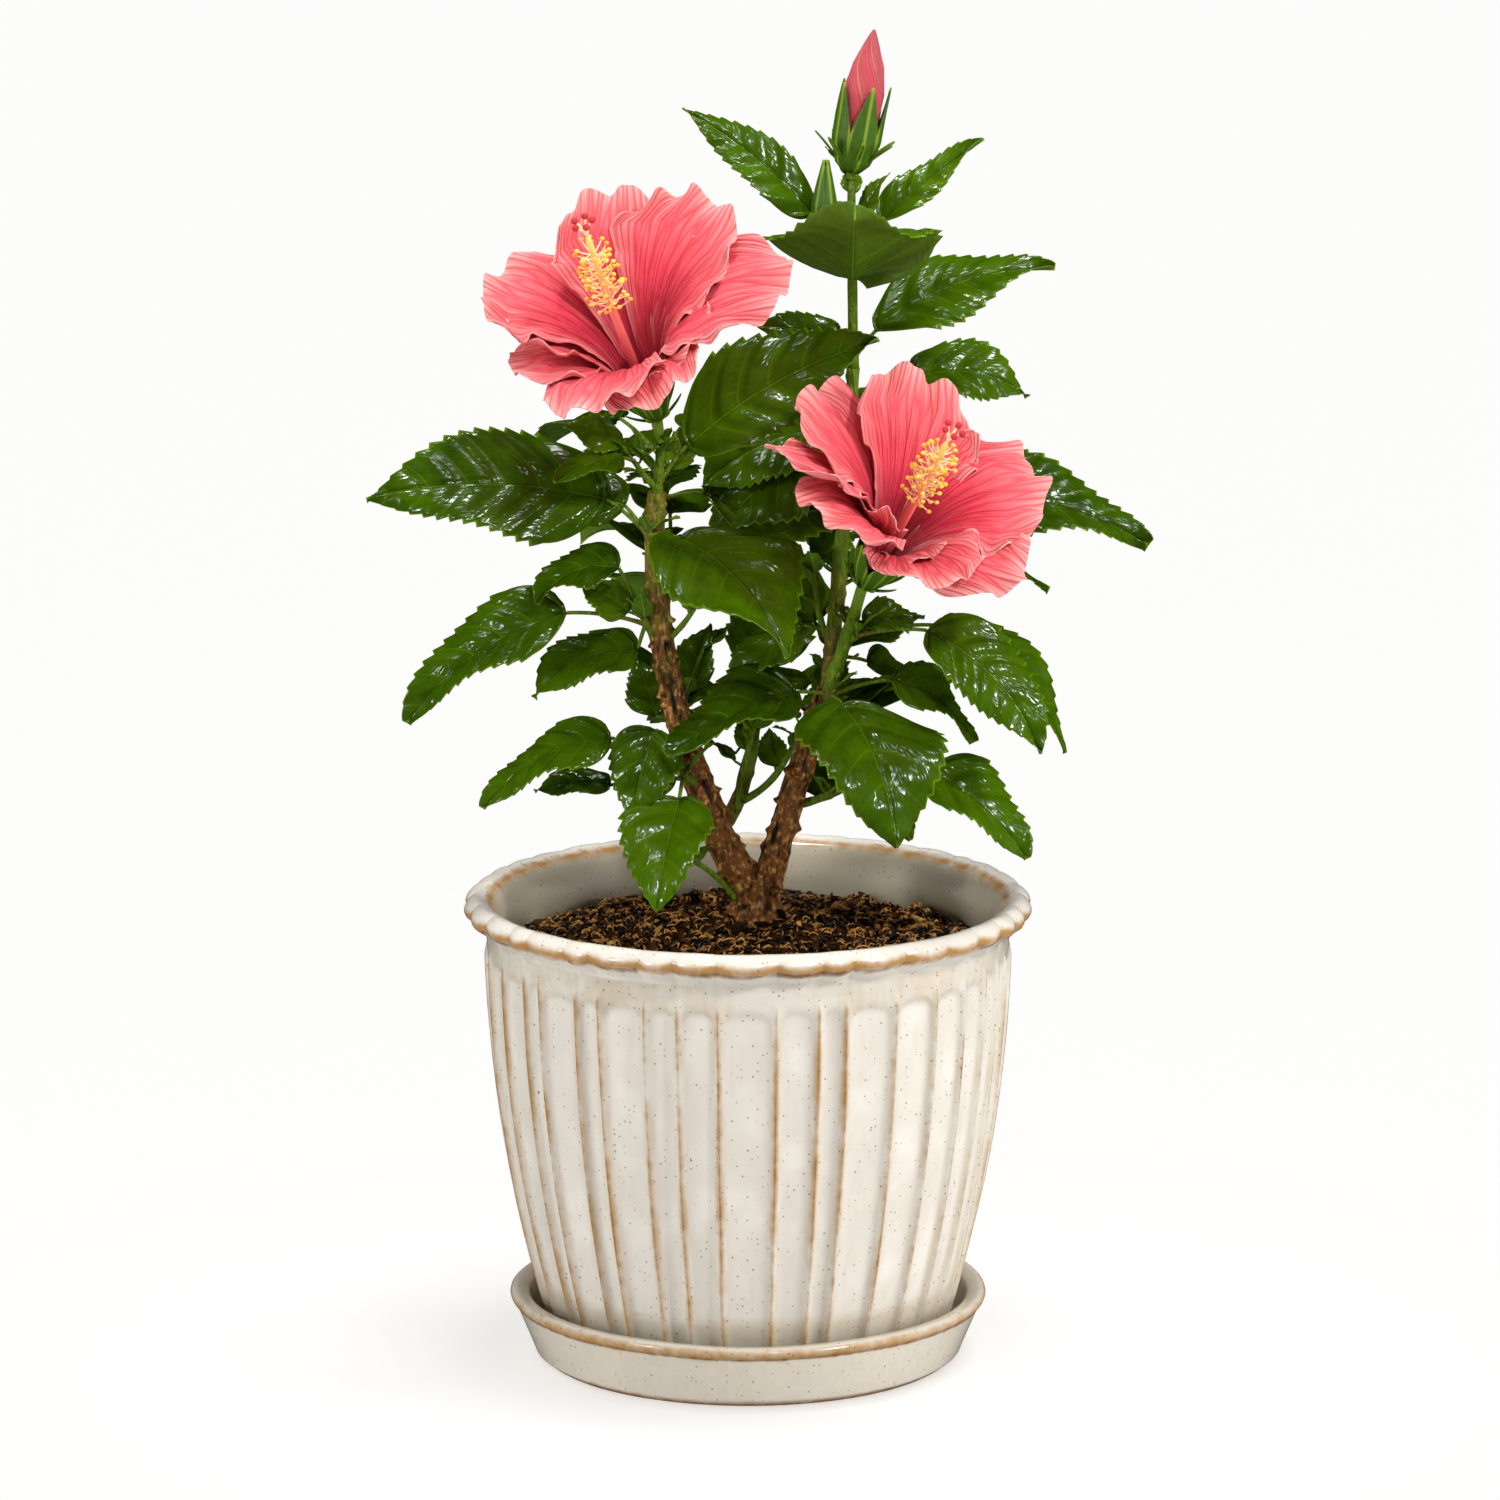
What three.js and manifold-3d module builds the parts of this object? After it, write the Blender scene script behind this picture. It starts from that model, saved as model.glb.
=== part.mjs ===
// Potted hibiscus shrub: a fluted glazed stoneware pot on a saucer, filled with coarse soil. A short trunk
// forks into two main boughs, which carry spaced sprays of toothed leaves, two open blooms and one bud.
// Millimetres, +Z up. The origin is the middle of the saucer's flat underside, and -Y is the front, the
// side that the blooms turn to.

import * as THREE from 'three'
import Module from 'manifold-3d'
import { mergeVertices } from 'three/addons/utils/BufferGeometryUtils.js'

const wasm = await Module()
wasm.setup()

// Clearance between pieces that meet
const gap = 0.3

// Saucer, pot and soil
const saucer = { footRadius: 79.5, floor: 6.5, rimHeight: 26, rimRadius: 92.2, lipRadius: 84.4, sides: 48 }
const pot = {
  footRadius: 75,
  swell: 25.4,
  swellHeight: 165,
  drainRadius: 7,
  floor: 7.5,
  floorRadius: 71,
  wall: 7,
  innerHeights: [60, 120],
  neckHeight: 168,
  lipHeight: 181
}
const flute = { depth: 1.3, lobe: 1.5, heights: [14, 42, 76, 114, 150], fade: 9 }
const soil = {
  edgeHeight: 160,
  moundHeight: 170,
  seatRadius: 17,
  lump: 1.1,
  rings: [0.86, 0.66, 0.44],
  sides: 30
}

// The pot stands on the saucer's floor
const potFoot = saucer.floor + gap
const potFloor = potFoot + pot.floor

// Widths of the flutes round the front half in degrees, from the left; the back half repeats them
const fluteWidths = [11, 11.2, 10.8, 6, 11.3, 6.3, 11.1, 7.5, 8.9, 12.5, 9.3, 6.3, 12, 11.2, 9.8, 8.9, 8, 7, 12]

// Limbs: where the axis starts, how far it reaches, how far it bows aside at its middle, and its radius at
// the foot and at the tip
const ground = soil.moundHeight + gap
const limbs = {
  trunk: { start: [3.5, 0, ground], reach: [0, 0, 17.5], bow: [0, 0, 0], foot: 8.6, tip: 7.4, flare: 4 },
  bough_left: { start: [-0.5, 0, 183], reach: [-34, -5, 155.5], bow: [-11.5, 0, 0], foot: 6.3, tip: 3.4 },
  bough_right: { start: [6.5, -1, 182], reach: [24, -6, 80], bow: [-1, 0, 0], foot: 5.8, tip: 4.2 },
  bough_middle: { start: [-11, 3, 205], reach: [13.5, 9, 35], bow: [2, 0, -2], foot: 2.9, tip: 2.1 },
  leader: { start: [30.5, -4, 262], reach: [9.5, 13, 122], bow: [1, 4, 0], foot: 3.2, tip: 2.5 },
  shoot_right: { start: [31, -9, 262], reach: [12.5, -11, 43], bow: [0, 0, 0], foot: 3, tip: 2.2 }
}
const woody = ['trunk', 'bough_left', 'bough_right', 'bough_middle', 'leader']
const limbSides = 7
const limbSteps = 9

// Leaves: headings in degrees are 0 to the right, 90 to the back, 180 to the left and 270 to the front.
// at is the place along the spray's stem, stalk and lift are the leaf stalk's length and rise, and to is the
// blade's heading (stalkTo the stalk's own, where it differs). pitch is the blade's slope at its base, bend
// how far it turns down to its tip, and roll how far it leans to its side.
const blade = {
  fold: 18,
  thick: 1.3,
  least: 0.6,
  blunt: 1.05,
  peak: 0.3773,
  rows: [0.01, 0.06, 0.18, 0.36, 0.56, 0.8, 1],
  small: 35,
  fewRows: [0.01, 0.1, 0.32, 0.66, 1]
}
const stalkRadius = 0.95

// Filling leaves: how often one is dealt again, and how far its blade stays from limbs and other leaves
const fillTries = 6
const room = { limb: 6, leaf: 5 }

const sprays = [
  {
    name: 'leaves_low_left', limb: 'bough_left', along: 0.27, reach: [-6, -10, 4], foot: 2.6, tip: 1.8,
    leaves: [
      { at: 1, to: 257, stalk: 9, lift: -48, long: 53, wide: 38, pitch: -28, bend: 30, roll: 0 },
      { at: 0.9, to: 232, stalkTo: 200, stalk: 23, lift: 60, long: 36, wide: 30, pitch: -50, bend: 36, roll: -20 },
      { at: 0.8, to: 184, stalk: 33, lift: 30, long: 58, wide: 33, pitch: -2, bend: 54, roll: -22 },
      { at: 0.7, to: 172, stalk: 30, lift: -6, long: 30, wide: 20, pitch: 6, bend: 24, roll: -22 },
      { at: 1, to: 195, stalk: 3, lift: 0, long: 19, wide: 12, pitch: -5, bend: 20, roll: -40 }
    ]
  },
  {
    name: 'leaves_mid_left', limb: 'bough_left', along: 0.6, reach: [-8, -4, 14], foot: 2.2, tip: 1.6,
    leaves: [
      { at: 0.85, to: 190, stalk: 10, lift: -72, long: 46, wide: 32, pitch: 4, bend: 56, roll: -28 },
      { at: 0.8, to: 186, stalkTo: 182, stalk: 31, lift: 9, long: 76, wide: 38, pitch: -12, bend: 44, roll: -30 },
      { at: 1, to: 165, stalk: 6, lift: 20, long: 22, wide: 20, pitch: 38, bend: 20, roll: -40 },
      { at: 1, to: 188, stalkTo: 170, stalk: 21, lift: 64, long: 37, wide: 28, pitch: 18, bend: 82, roll: -25 }
    ]
  },
  {
    name: 'leaves_shoulder_left', limb: 'bough_left', along: 0.88, reach: [-3, -6, 3], foot: 2, tip: 1.6,
    leaves: [
      { at: 0.7, to: 183, stalk: 22, lift: 42, long: 92, wide: 50, pitch: 15, bend: 28, roll: -48 },
      { at: 1, to: 312, stalkTo: 330, stalk: 14, lift: 2, long: 74, wide: 62, pitch: -6, bend: 52, roll: 12 },
      { at: 1, to: 160, stalkTo: 165, stalk: 14, lift: 52, long: 42, wide: 32, pitch: 20, bend: 25, roll: -34 }
    ]
  },
  {
    name: 'leaves_crown_left', limb: 'bough_left', along: 1, reach: [1.6, -2, 18], foot: 2.3, tip: 2,
    leaves: [
      { at: 0.1, to: 350, stalk: 20, lift: 55, long: 86, wide: 46, pitch: 44, bend: 28, roll: 48 },
      { at: 0.35, to: 195, stalk: 20, lift: 46, long: 24, wide: 18, pitch: 22, bend: 15, roll: -40 },
      { at: 0.4, to: 215, stalk: 4, lift: 40, long: 19, wide: 13, pitch: 65, bend: 10, roll: -20 },
      { at: 0.35, to: 20, stalk: 5, lift: 30, long: 22, wide: 16, pitch: 60, bend: 20, roll: 30 }
    ]
  },
  {
    name: 'leaves_inner_left', limb: 'bough_left', along: 0.45, reach: [3, 5, 4], foot: 1.9, tip: 1.5,
    leaves: [
      { at: 1, to: 55, stalk: 4, lift: 40, long: 28, wide: 20, pitch: 68, bend: 15, roll: 0 },
      { at: 1, to: 30, stalk: 20, lift: 65, long: 16, wide: 10, pitch: 40, bend: 10, roll: 0 }
    ]
  },
  {
    name: 'leaves_middle', limb: 'bough_middle', along: 1, reach: [3, 4, 12], foot: 1.9, tip: 1.4,
    leaves: [
      { at: 1, to: 80, stalk: 15, lift: 55, long: 38, wide: 36, pitch: 62, bend: 15, roll: 0 },
      { at: 0.2, to: 200, stalk: 12, lift: -45, long: 13, wide: 10, pitch: 30, bend: 10, roll: 0 }
    ]
  },
  {
    name: 'leaves_low_right', limb: 'bough_right', along: 0.42, reach: [17, -3, 6], foot: 2, tip: 1.6,
    leaves: [
      { at: 1, to: 345, stalk: 38, lift: 15, long: 51, wide: 36, pitch: -18, bend: 40, roll: 25 },
      { at: 0.8, to: 330, stalk: 15, lift: 35, long: 34, wide: 24, pitch: -20, bend: 40, roll: 20 },
      { at: 0.55, to: 60, stalk: 3, lift: 20, long: 20, wide: 18, pitch: 50, bend: 20, roll: 0 }
    ]
  },
  {
    name: 'leaves_mid_right', limb: 'bough_right', along: 0.96, reach: [2, -8, 3], foot: 2.4, tip: 2,
    leaves: [
      { at: 1, to: 296, stalk: 9, lift: -8, long: 70, wide: 60, pitch: -15, bend: 58, roll: -6 },
      { at: 1, to: 203, stalkTo: 190, stalk: 13, lift: 8, long: 58, wide: 42, pitch: -8, bend: 26, roll: -20 },
      { at: 0.9, to: 5, stalk: 24, lift: 14, long: 42, wide: 30, pitch: -12, bend: 52, roll: 25 }
    ]
  },
  {
    name: 'leaves_right_node', limb: 'leader', along: 0.06, reach: [3, 7, 4], foot: 2, tip: 1.6,
    leaves: [
      { at: 0.9, to: 15, stalk: 12, lift: -10, long: 30, wide: 24, pitch: -15, bend: 30, roll: 20 },
      { at: 1, to: 168, stalkTo: 150, stalk: 16, lift: 50, long: 42, wide: 36, pitch: 62, bend: 20, roll: -30 }
    ]
  },
  {
    name: 'leaves_shoulder_right', limb: 'shoot_right', along: 0.5, reach: [4, -3, 2], foot: 2, tip: 1.7,
    leaves: [
      { at: 1, to: 338, stalkTo: 352, stalk: 27, lift: 6, long: 66, wide: 34, pitch: -18, bend: 52, roll: 30 },
      { at: 0.9, to: 356, stalkTo: 4, stalk: 31, lift: 7, long: 72, wide: 38, pitch: -20, bend: 48, roll: 30 },
      { at: 0.5, to: 12, stalk: 7, lift: 50, long: 24, wide: 20, pitch: 12, bend: 20, roll: 35 }
    ]
  },
  {
    name: 'leaves_behind_bloom', limb: 'leader', along: 0.55, reach: [2, 4, 5], foot: 1.8, tip: 1.5,
    leaves: [
      { at: 1, to: 358, stalk: 42, lift: 0, long: 76, wide: 46, pitch: 4, bend: 36, roll: 32 },
      { at: 0.6, to: 190, stalkTo: 184, stalk: 24, lift: 56, long: 52, wide: 44, pitch: -26, bend: 30, roll: -50 }
    ]
  },
  {
    name: 'leaves_leader_right', limb: 'leader', along: 0.8, reach: [3, 4, 5], foot: 1.8, tip: 1.5,
    leaves: [
      { at: 1, to: 8, stalk: 25, lift: 34, long: 48, wide: 32, pitch: 20, bend: 60, roll: 35 }
    ]
  },
  {
    name: 'leaves_top', limb: 'leader', along: 1, reach: [-1, -4, 72], foot: 2.4, tip: 1.6,
    leaves: [
      { at: 0.04, to: 2, stalk: 14, lift: 53, long: 74, wide: 40, pitch: 42, bend: 46, roll: 25 },
      { at: 0.16, to: 172, stalk: 5, lift: 0, long: 32, wide: 18, pitch: 14, bend: 15, roll: -40 },
      { at: 0.45, to: 270, stalk: 3, lift: 40, long: 72, wide: 70, pitch: 40, bend: 25, roll: 0 },
      { at: 0.7, to: 176, stalk: 17, lift: 30, long: 64, wide: 23, pitch: 49, bend: 20, roll: -45 },
      { at: 0.66, to: 5, stalk: 14, lift: 40, long: 50, wide: 20, pitch: 42, bend: 8, roll: 40 },
      { at: 0.75, to: 350, stalk: 3, lift: 50, long: 23, wide: 12, pitch: 62, bend: 10, roll: 40 }
    ]
  },
  {
    name: 'leaves_back_low_left', limb: 'bough_left', along: 0.38, reach: [-4, 18, 10], foot: 2, tip: 1.5,
    leaves: [
      { at: 0.4, to: 120, stalkTo: 180, stalk: 10, lift: 20, long: 25, wide: 20, pitch: 62, bend: 20, roll: 0 }
    ],
    fill: { seed: 11, count: 4, from: 60, to: 120, long: 54 }
  },
  {
    name: 'leaves_back_left', limb: 'bough_left', along: 0.66, reach: [4, 28, 16], foot: 2.2, tip: 1.5,
    leaves: [], fill: { seed: 23, count: 6, from: 66, to: 112, long: 60 }
  },
  {
    name: 'leaves_back_crown', limb: 'bough_left', along: 0.93, reach: [3, 26, 18], foot: 2, tip: 1.5,
    leaves: [
      { at: 0.35, to: 12, stalk: 18, lift: 6, long: 74, wide: 50, pitch: 4, bend: 26, roll: 55 }
    ],
    fill: { seed: 31, count: 5, from: 55, to: 140, long: 58 }
  },
  {
    name: 'leaves_back_low_right', limb: 'bough_right', along: 0.7, reach: [4, 20, 8], foot: 2, tip: 1.5,
    leaves: [], fill: { seed: 47, count: 5, from: 20, to: 100, long: 58 }
  },
  {
    name: 'leaves_back_right', limb: 'leader', along: 0.25, reach: [4, 26, 12], foot: 2.2, tip: 1.5,
    leaves: [], fill: { seed: 53, count: 6, from: 20, to: 110, long: 62 }
  },
  {
    name: 'leaves_back_leader', limb: 'leader', along: 0.66, reach: [-3, 24, 16], foot: 2, tip: 1.5,
    leaves: [], fill: { seed: 71, count: 5, from: 35, to: 145, long: 58 }
  }
]

// Blooms: base is the foot of the flower tube, axis the way that the bloom faces. Each petal has its
// bearing round the axis (0 to the right, 90 up), its length and width, and the angle that it flares to.
const petal = {
  thick: 1.1,
  claw: 0.34,
  clawAngle: 15,
  clawWidth: 11,
  round: 0.72,
  end: 0.35,
  rows: 5,
  columns: 4,
  ruffle: 3.2
}

// The column in a bloom's middle: its radius, and its stamens from the share low to the share high of it
const column = { radius: 2.3, stamens: 8, low: 0.58, high: 0.9, reach: 9.5, rise: 3, turn: 2.4 }
const blooms = [
  {
    name: 'bloom_left', base: [-34.4, -9.5, 368], axis: [-0.26, -0.5, 0.83], stalk: [-32.9, -7, 356.9],
    columnLong: 101,
    petals: [
      { bearing: 4, long: 106, wide: 66, flare: 80, wave: 0.2 },
      { bearing: 70, long: 96, wide: 66, flare: 70, wave: 1.7 },
      { bearing: 124, long: 86, wide: 64, flare: 68, wave: 3.1 },
      { bearing: 178, long: 90, wide: 66, flare: 86, wave: 4.4 },
      { bearing: 240, long: 76, wide: 62, flare: 92, wave: 5.2 },
      { bearing: 292, long: 84, wide: 66, flare: 98, wave: 0.9 }
    ]
  },
  {
    name: 'bloom_right', base: [44.2, -20.4, 305.6], axis: [0.355, -0.532, 0.767], stalk: [43.4, -19.8, 304.5],
    columnLong: 90,
    petals: [
      { bearing: 0, long: 86, wide: 60, flare: 86, wave: 0.6 },
      { bearing: 62, long: 88, wide: 60, flare: 66, wave: 1.9 },
      { bearing: 116, long: 86, wide: 60, flare: 72, wave: 2.7 },
      { bearing: 172, long: 82, wide: 56, flare: 80, wave: 4.1 },
      { bearing: 235, long: 84, wide: 62, flare: 100, wave: 5 },
      { bearing: 298, long: 74, wide: 62, flare: 90, wave: 0.1 }
    ]
  }
]

// The small green bud beside the top stem: its ends are set from where its stalk leaves the stem
const sideBud = { spray: 'leaves_top', at: 0.6, foot: [-11, -3, 8], tip: [-10, -3, 37], radius: 4.6 }

const bud = { base: [38.8, 6, 459.5], axis: [0.16, 0, 0.987], long: 54.5, radius: 7.9, bracts: 7, lobes: 5 }

const colours = {
  glaze: 0xd9cfbd,
  soil: 0x4a3524,
  bark: 0x7a5f48,
  green: 0x6f8a3c,
  leaf: 0x3c5c2c,
  petal: 0xee6f74
}

const radians = THREE.MathUtils.degToRad

function vector(list) {
  return new THREE.Vector3(...list)
}

function towards(heading, pitch) {
  const h = radians(heading)
  const p = radians(pitch)
  return new THREE.Vector3(Math.cos(h) * Math.cos(p), Math.sin(h) * Math.cos(p), Math.sin(p))
}

function onLimb(limb, t) {
  return vector(limb.start)
    .addScaledVector(vector(limb.reach), t)
    .addScaledVector(vector(limb.bow), 4 * t * (1 - t))
}

// A closed skin over rings of points: ring k joins ring k + 1, and the first and last ring are capped by a fan.
// Rings run counter-clockwise seen from ahead of the skin's direction.
function skin(rings, capped = true) {
  const size = rings[0].length
  const points = rings.flat()
  const faces = []
  for (let k = 0; k < rings.length - 1; k++) {
    for (let i = 0; i < size; i++) {
      const j = (i + 1) % size
      const a = k * size
      const b = a + size
      faces.push([a + i, a + j, b + j], [a + i, b + j, b + i])
    }
  }
  const last = (rings.length - 1) * size
  for (let i = 1; capped && i < size - 1; i++) {
    faces.push([0, i + 1, i], [last, last + i, last + i + 1])
  }
  return { points, faces }
}

function toManifold({ points, faces }) {
  const geometry = new THREE.BufferGeometry().setFromPoints(points)
  geometry.setIndex(faces.flat())
  const merged = mergeVertices(geometry, 1e-3)
  const index = Array.from(merged.index.array)
  const kept = []
  for (let i = 0; i < index.length; i += 3) {
    const [a, b, c] = index.slice(i, i + 3)
    if (a !== b && b !== c && c !== a) {
      kept.push(a, b, c)
    }
  }
  const mesh = new wasm.Mesh({
    numProp: 3,
    vertProperties: new Float32Array(merged.attributes.position.array),
    triVerts: new Uint32Array(kept)
  })
  return new wasm.Manifold(mesh)
}

function joined(parts) {
  return parts.reduce((whole, part) => whole.add(part))
}

// The largest body of a solid, so that a scrap cut loose is dropped
function largest(solid) {
  const bodies = solid.decompose()
  return bodies.reduce((best, body) => (body.volume() > best.volume() ? body : best))
}

function toMesh(name, solid, colour, roughness) {
  const { vertProperties, triVerts } = solid.getMesh()
  const geometry = new THREE.BufferGeometry()
  geometry.setAttribute('position', new THREE.BufferAttribute(new Float32Array(vertProperties), 3))
  geometry.setIndex(Array.from(triVerts))
  const material = new THREE.MeshStandardMaterial({ color: colour, roughness, metalness: 0 })
  const mesh = new THREE.Mesh(geometry, material)
  mesh.name = name
  return mesh
}

// A tapering tube through points, each with its radius
function tube(centres, radii, sides) {
  const rings = centres.map((centre, k) => {
    const next = centres[Math.min(k + 1, centres.length - 1)]
    const previous = centres[Math.max(k - 1, 0)]
    const ahead = next.clone().sub(previous).normalize()
    const side = new THREE.Vector3(0, 1, 0).cross(ahead)
    if (side.length() < 0.2) {
      side.set(1, 0, 0).cross(ahead)
    }
    side.normalize()
    const up = ahead.clone().cross(side)
    const ring = []
    for (let i = 0; i < sides; i++) {
      const angle = (2 * Math.PI * i) / sides
      ring.push(
        centre.clone()
          .addScaledVector(side, radii[k] * Math.cos(angle))
          .addScaledVector(up, radii[k] * Math.sin(angle))
      )
    }
    return ring
  })
  return toManifold(skin(rings))
}

function limbSolid(limb, sides, steps, extra = 0) {
  const centres = []
  const radii = []
  const beyond = extra / vector(limb.reach).length()
  for (let k = 0; k <= steps; k++) {
    const t = k / steps
    const flare = (limb.flare ?? 0) * (1 - t) ** 3
    centres.push(onLimb(limb, k === steps ? t + beyond : t))
    radii.push(limb.foot + (limb.tip - limb.foot) * t + flare + extra)
  }
  return tube(centres, radii, sides)
}

// A closed body over rings of points, each a radius, a height and what its even points stand proud by
function lathed(profile, angles) {
  return profile.map(({ radius, height, proud = 0, lump = 0 }) =>
    angles.map((angle, i) => {
      const r = radius + (i % 2 === 0 ? proud / 2 : -proud / 2)
      const z = height + lump * Math.sin(2.4 * i + radius)
      return new THREE.Vector3(r * Math.cos(angle), r * Math.sin(angle), z)
    })
  )
}

function evenAngles(sides) {
  return Array.from({ length: sides }, (_, i) => (2 * Math.PI * i) / sides)
}

// The ridge and the middle of every flute, round the whole pot
function fluteAngles() {
  const whole = fluteWidths.reduce((sum, width) => sum + width, 0)
  const angles = []
  for (const start of [180, 360]) {
    let angle = start
    for (const width of fluteWidths) {
      const turn = (180 * width) / whole
      angles.push(radians(angle), radians(angle + turn / 2))
      angle += turn
    }
  }
  return angles
}

function makeSaucer() {
  const { footRadius, floor, rimHeight, rimRadius, lipRadius, sides } = saucer
  const profile = [
    { radius: footRadius, height: 0 },
    { radius: footRadius + 3, height: 2.5 },
    { radius: rimRadius - 1.6, height: rimHeight - 5 },
    { radius: rimRadius, height: rimHeight - 1.6 },
    { radius: rimRadius - 2, height: rimHeight },
    { radius: lipRadius + 1.6, height: rimHeight - 0.3 },
    { radius: lipRadius, height: rimHeight - 2 },
    { radius: footRadius + 1.2, height: floor + 3 },
    { radius: footRadius - 1.5, height: floor }
  ]
  return toManifold(skin(lathed(profile, evenAngles(sides))))
}

// Radius of the pot's outer wall, which swells upward and straightens under the rim
function potRadius(height) {
  const t = Math.min(1, (height - potFoot) / pot.swellHeight)
  return pot.footRadius + pot.swell * (1 - (1 - t) ** 2)
}

function makePot() {
  const { wall, neckHeight, lipHeight, drainRadius, floorRadius } = pot
  const { depth, lobe, heights, fade } = flute
  const neck = potRadius(neckHeight)
  const smoothHeight = heights.at(-1) + fade
  const profile = [{ radius: pot.footRadius, height: potFoot }]
  for (const height of heights) {
    profile.push({ radius: potRadius(height), height, proud: depth })
  }
  profile.push(
    { radius: potRadius(smoothHeight), height: smoothHeight },
    { radius: neck, height: neckHeight },
    { radius: neck + 3.6, height: lipHeight - 9.5, proud: -lobe / 2 },
    { radius: neck + 8, height: lipHeight - 5.5, proud: -lobe },
    { radius: neck + 7, height: lipHeight - 2.2, proud: -lobe },
    { radius: neck + 3.6, height: lipHeight },
    { radius: neck - 1.6, height: lipHeight - 0.4 },
    { radius: neck - 4, height: lipHeight - 2 },
    { radius: neck - wall, height: lipHeight - 12 }
  )
  for (const height of pot.innerHeights.toReversed()) {
    profile.push({ radius: potRadius(height) - wall, height })
  }
  profile.push(
    { radius: floorRadius, height: potFloor },
    { radius: drainRadius, height: potFloor },
    { radius: drainRadius, height: potFoot }
  )
  const rings = lathed(profile, fluteAngles())
  const open = skin([...rings, rings[0]], false)
  return toManifold(open)
}

function makeSoil() {
  const { edgeHeight, moundHeight, seatRadius, lump, rings, sides } = soil
  const play = pot.wall + 2 * gap
  const rise = moundHeight - edgeHeight
  const outer = potRadius(edgeHeight) - play
  const profile = [{ radius: pot.floorRadius - 2 * gap, height: potFloor + gap }]
  for (const height of pot.innerHeights) {
    profile.push({ radius: potRadius(height) - play, height })
  }
  profile.push({ radius: outer, height: edgeHeight })
  for (const share of rings) {
    profile.push({ radius: outer * share, height: moundHeight - rise * share ** 2 - lump / 2, lump })
  }
  profile.push({ radius: seatRadius, height: moundHeight })
  return toManifold(skin(lathed(profile, evenAngles(sides))))
}

// Random numbers that come out the same each time
function dice(seed) {
  let state = seed
  return () => {
    state = (state * 16807) % 2147483647
    return state / 2147483647
  }
}

function stemOf(spray) {
  return {
    start: onLimb(limbs[spray.limb], spray.along).toArray(),
    reach: spray.reach,
    bow: [0, 0, 0],
    foot: spray.foot,
    tip: spray.tip
  }
}

// The blade of a leaf as rows across it, each with its midrib point and its two edges
function bladeRows(leaf, base) {
  const rows = []
  const rib = base.clone()
  const fold = radians(blade.fold)
  const roll = radians(leaf.roll)
  const strides = 4
  let reached = 0
  for (const t of leaf.long < blade.small ? blade.fewRows : blade.rows) {
    const stride = (t - reached) / strides
    for (let i = 0; i < strides; i++) {
      const slope = leaf.pitch - leaf.bend * (reached + stride * (i + 0.5))
      rib.addScaledVector(towards(leaf.to, slope), leaf.long * stride)
    }
    reached = t
    const pitch = leaf.pitch - leaf.bend * t
    const above = towards(leaf.to, pitch + 90)
    const beside = towards(leaf.to, pitch).cross(above)
    const normal = above.clone().multiplyScalar(Math.cos(roll)).addScaledVector(beside, Math.sin(roll))
    const side = beside.clone().multiplyScalar(Math.cos(roll)).addScaledVector(above, -Math.sin(roll))
    const half = Math.max(blade.least, (leaf.wide / 2) * (Math.sqrt(t) * (1 - t) ** blade.blunt) / blade.peak)
    const lift = normal.clone().multiplyScalar(half * Math.sin(fold))
    const out = side.clone().multiplyScalar(half * Math.cos(fold))
    const thick = (blade.thick / 2) * (1 - 0.6 * t)
    rows.push([
      rib.clone().add(lift).add(out),
      rib.clone().addScaledVector(normal, -thick),
      rib.clone().add(lift).sub(out),
      rib.clone().addScaledVector(normal, thick)
    ])
  }
  return rows
}

function leafFoot(stem, leaf) {
  const node = onLimb(stem, leaf.at)
  const base = node.clone().addScaledVector(towards(leaf.stalkTo ?? leaf.to, leaf.lift), leaf.stalk)
  return { node, base }
}

// A leaf is one skin from the root of its stalk, in the stem, to the tip of its blade
function makeLeaf(stem, leaf) {
  const { node, base } = leafFoot(stem, leaf)
  const rows = bladeRows(leaf, base)
  const stalkAhead = base.clone().sub(node).normalize()
  const beside = rows[0][0].clone().sub(rows[0][2]).normalize()
  beside.addScaledVector(stalkAhead, -beside.dot(stalkAhead)).normalize()
  const below = stalkAhead.clone().cross(beside)
  const stalkRows = [0, 0.5, 0.94].map((t) => {
    const centre = node.clone().lerp(base, t)
    centre.z += 0.2 * leaf.stalk * t * (1 - t)
    return [
      centre.clone().addScaledVector(beside, stalkRadius),
      centre.clone().addScaledVector(below, stalkRadius),
      centre.clone().addScaledVector(beside, -stalkRadius),
      centre.clone().addScaledVector(below, -stalkRadius)
    ]
  })
  return toManifold(skin([...stalkRows, ...rows]))
}

// Points on a blade that stand for it where two leaves might meet
function bladeMarks(stem, leaf) {
  return bladeRows(leaf, leafFoot(stem, leaf).base).slice(1).flatMap((row) => row.slice(0, 3))
}

const limbMarks = Object.values(limbs).flatMap((limb) => evenAngles(16).map((_, i) => onLimb(limb, i / 15)))

function isClear(marks, others, distance) {
  return marks.every((mark) => others.every((other) => mark.distanceTo(other) > distance))
}

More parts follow.
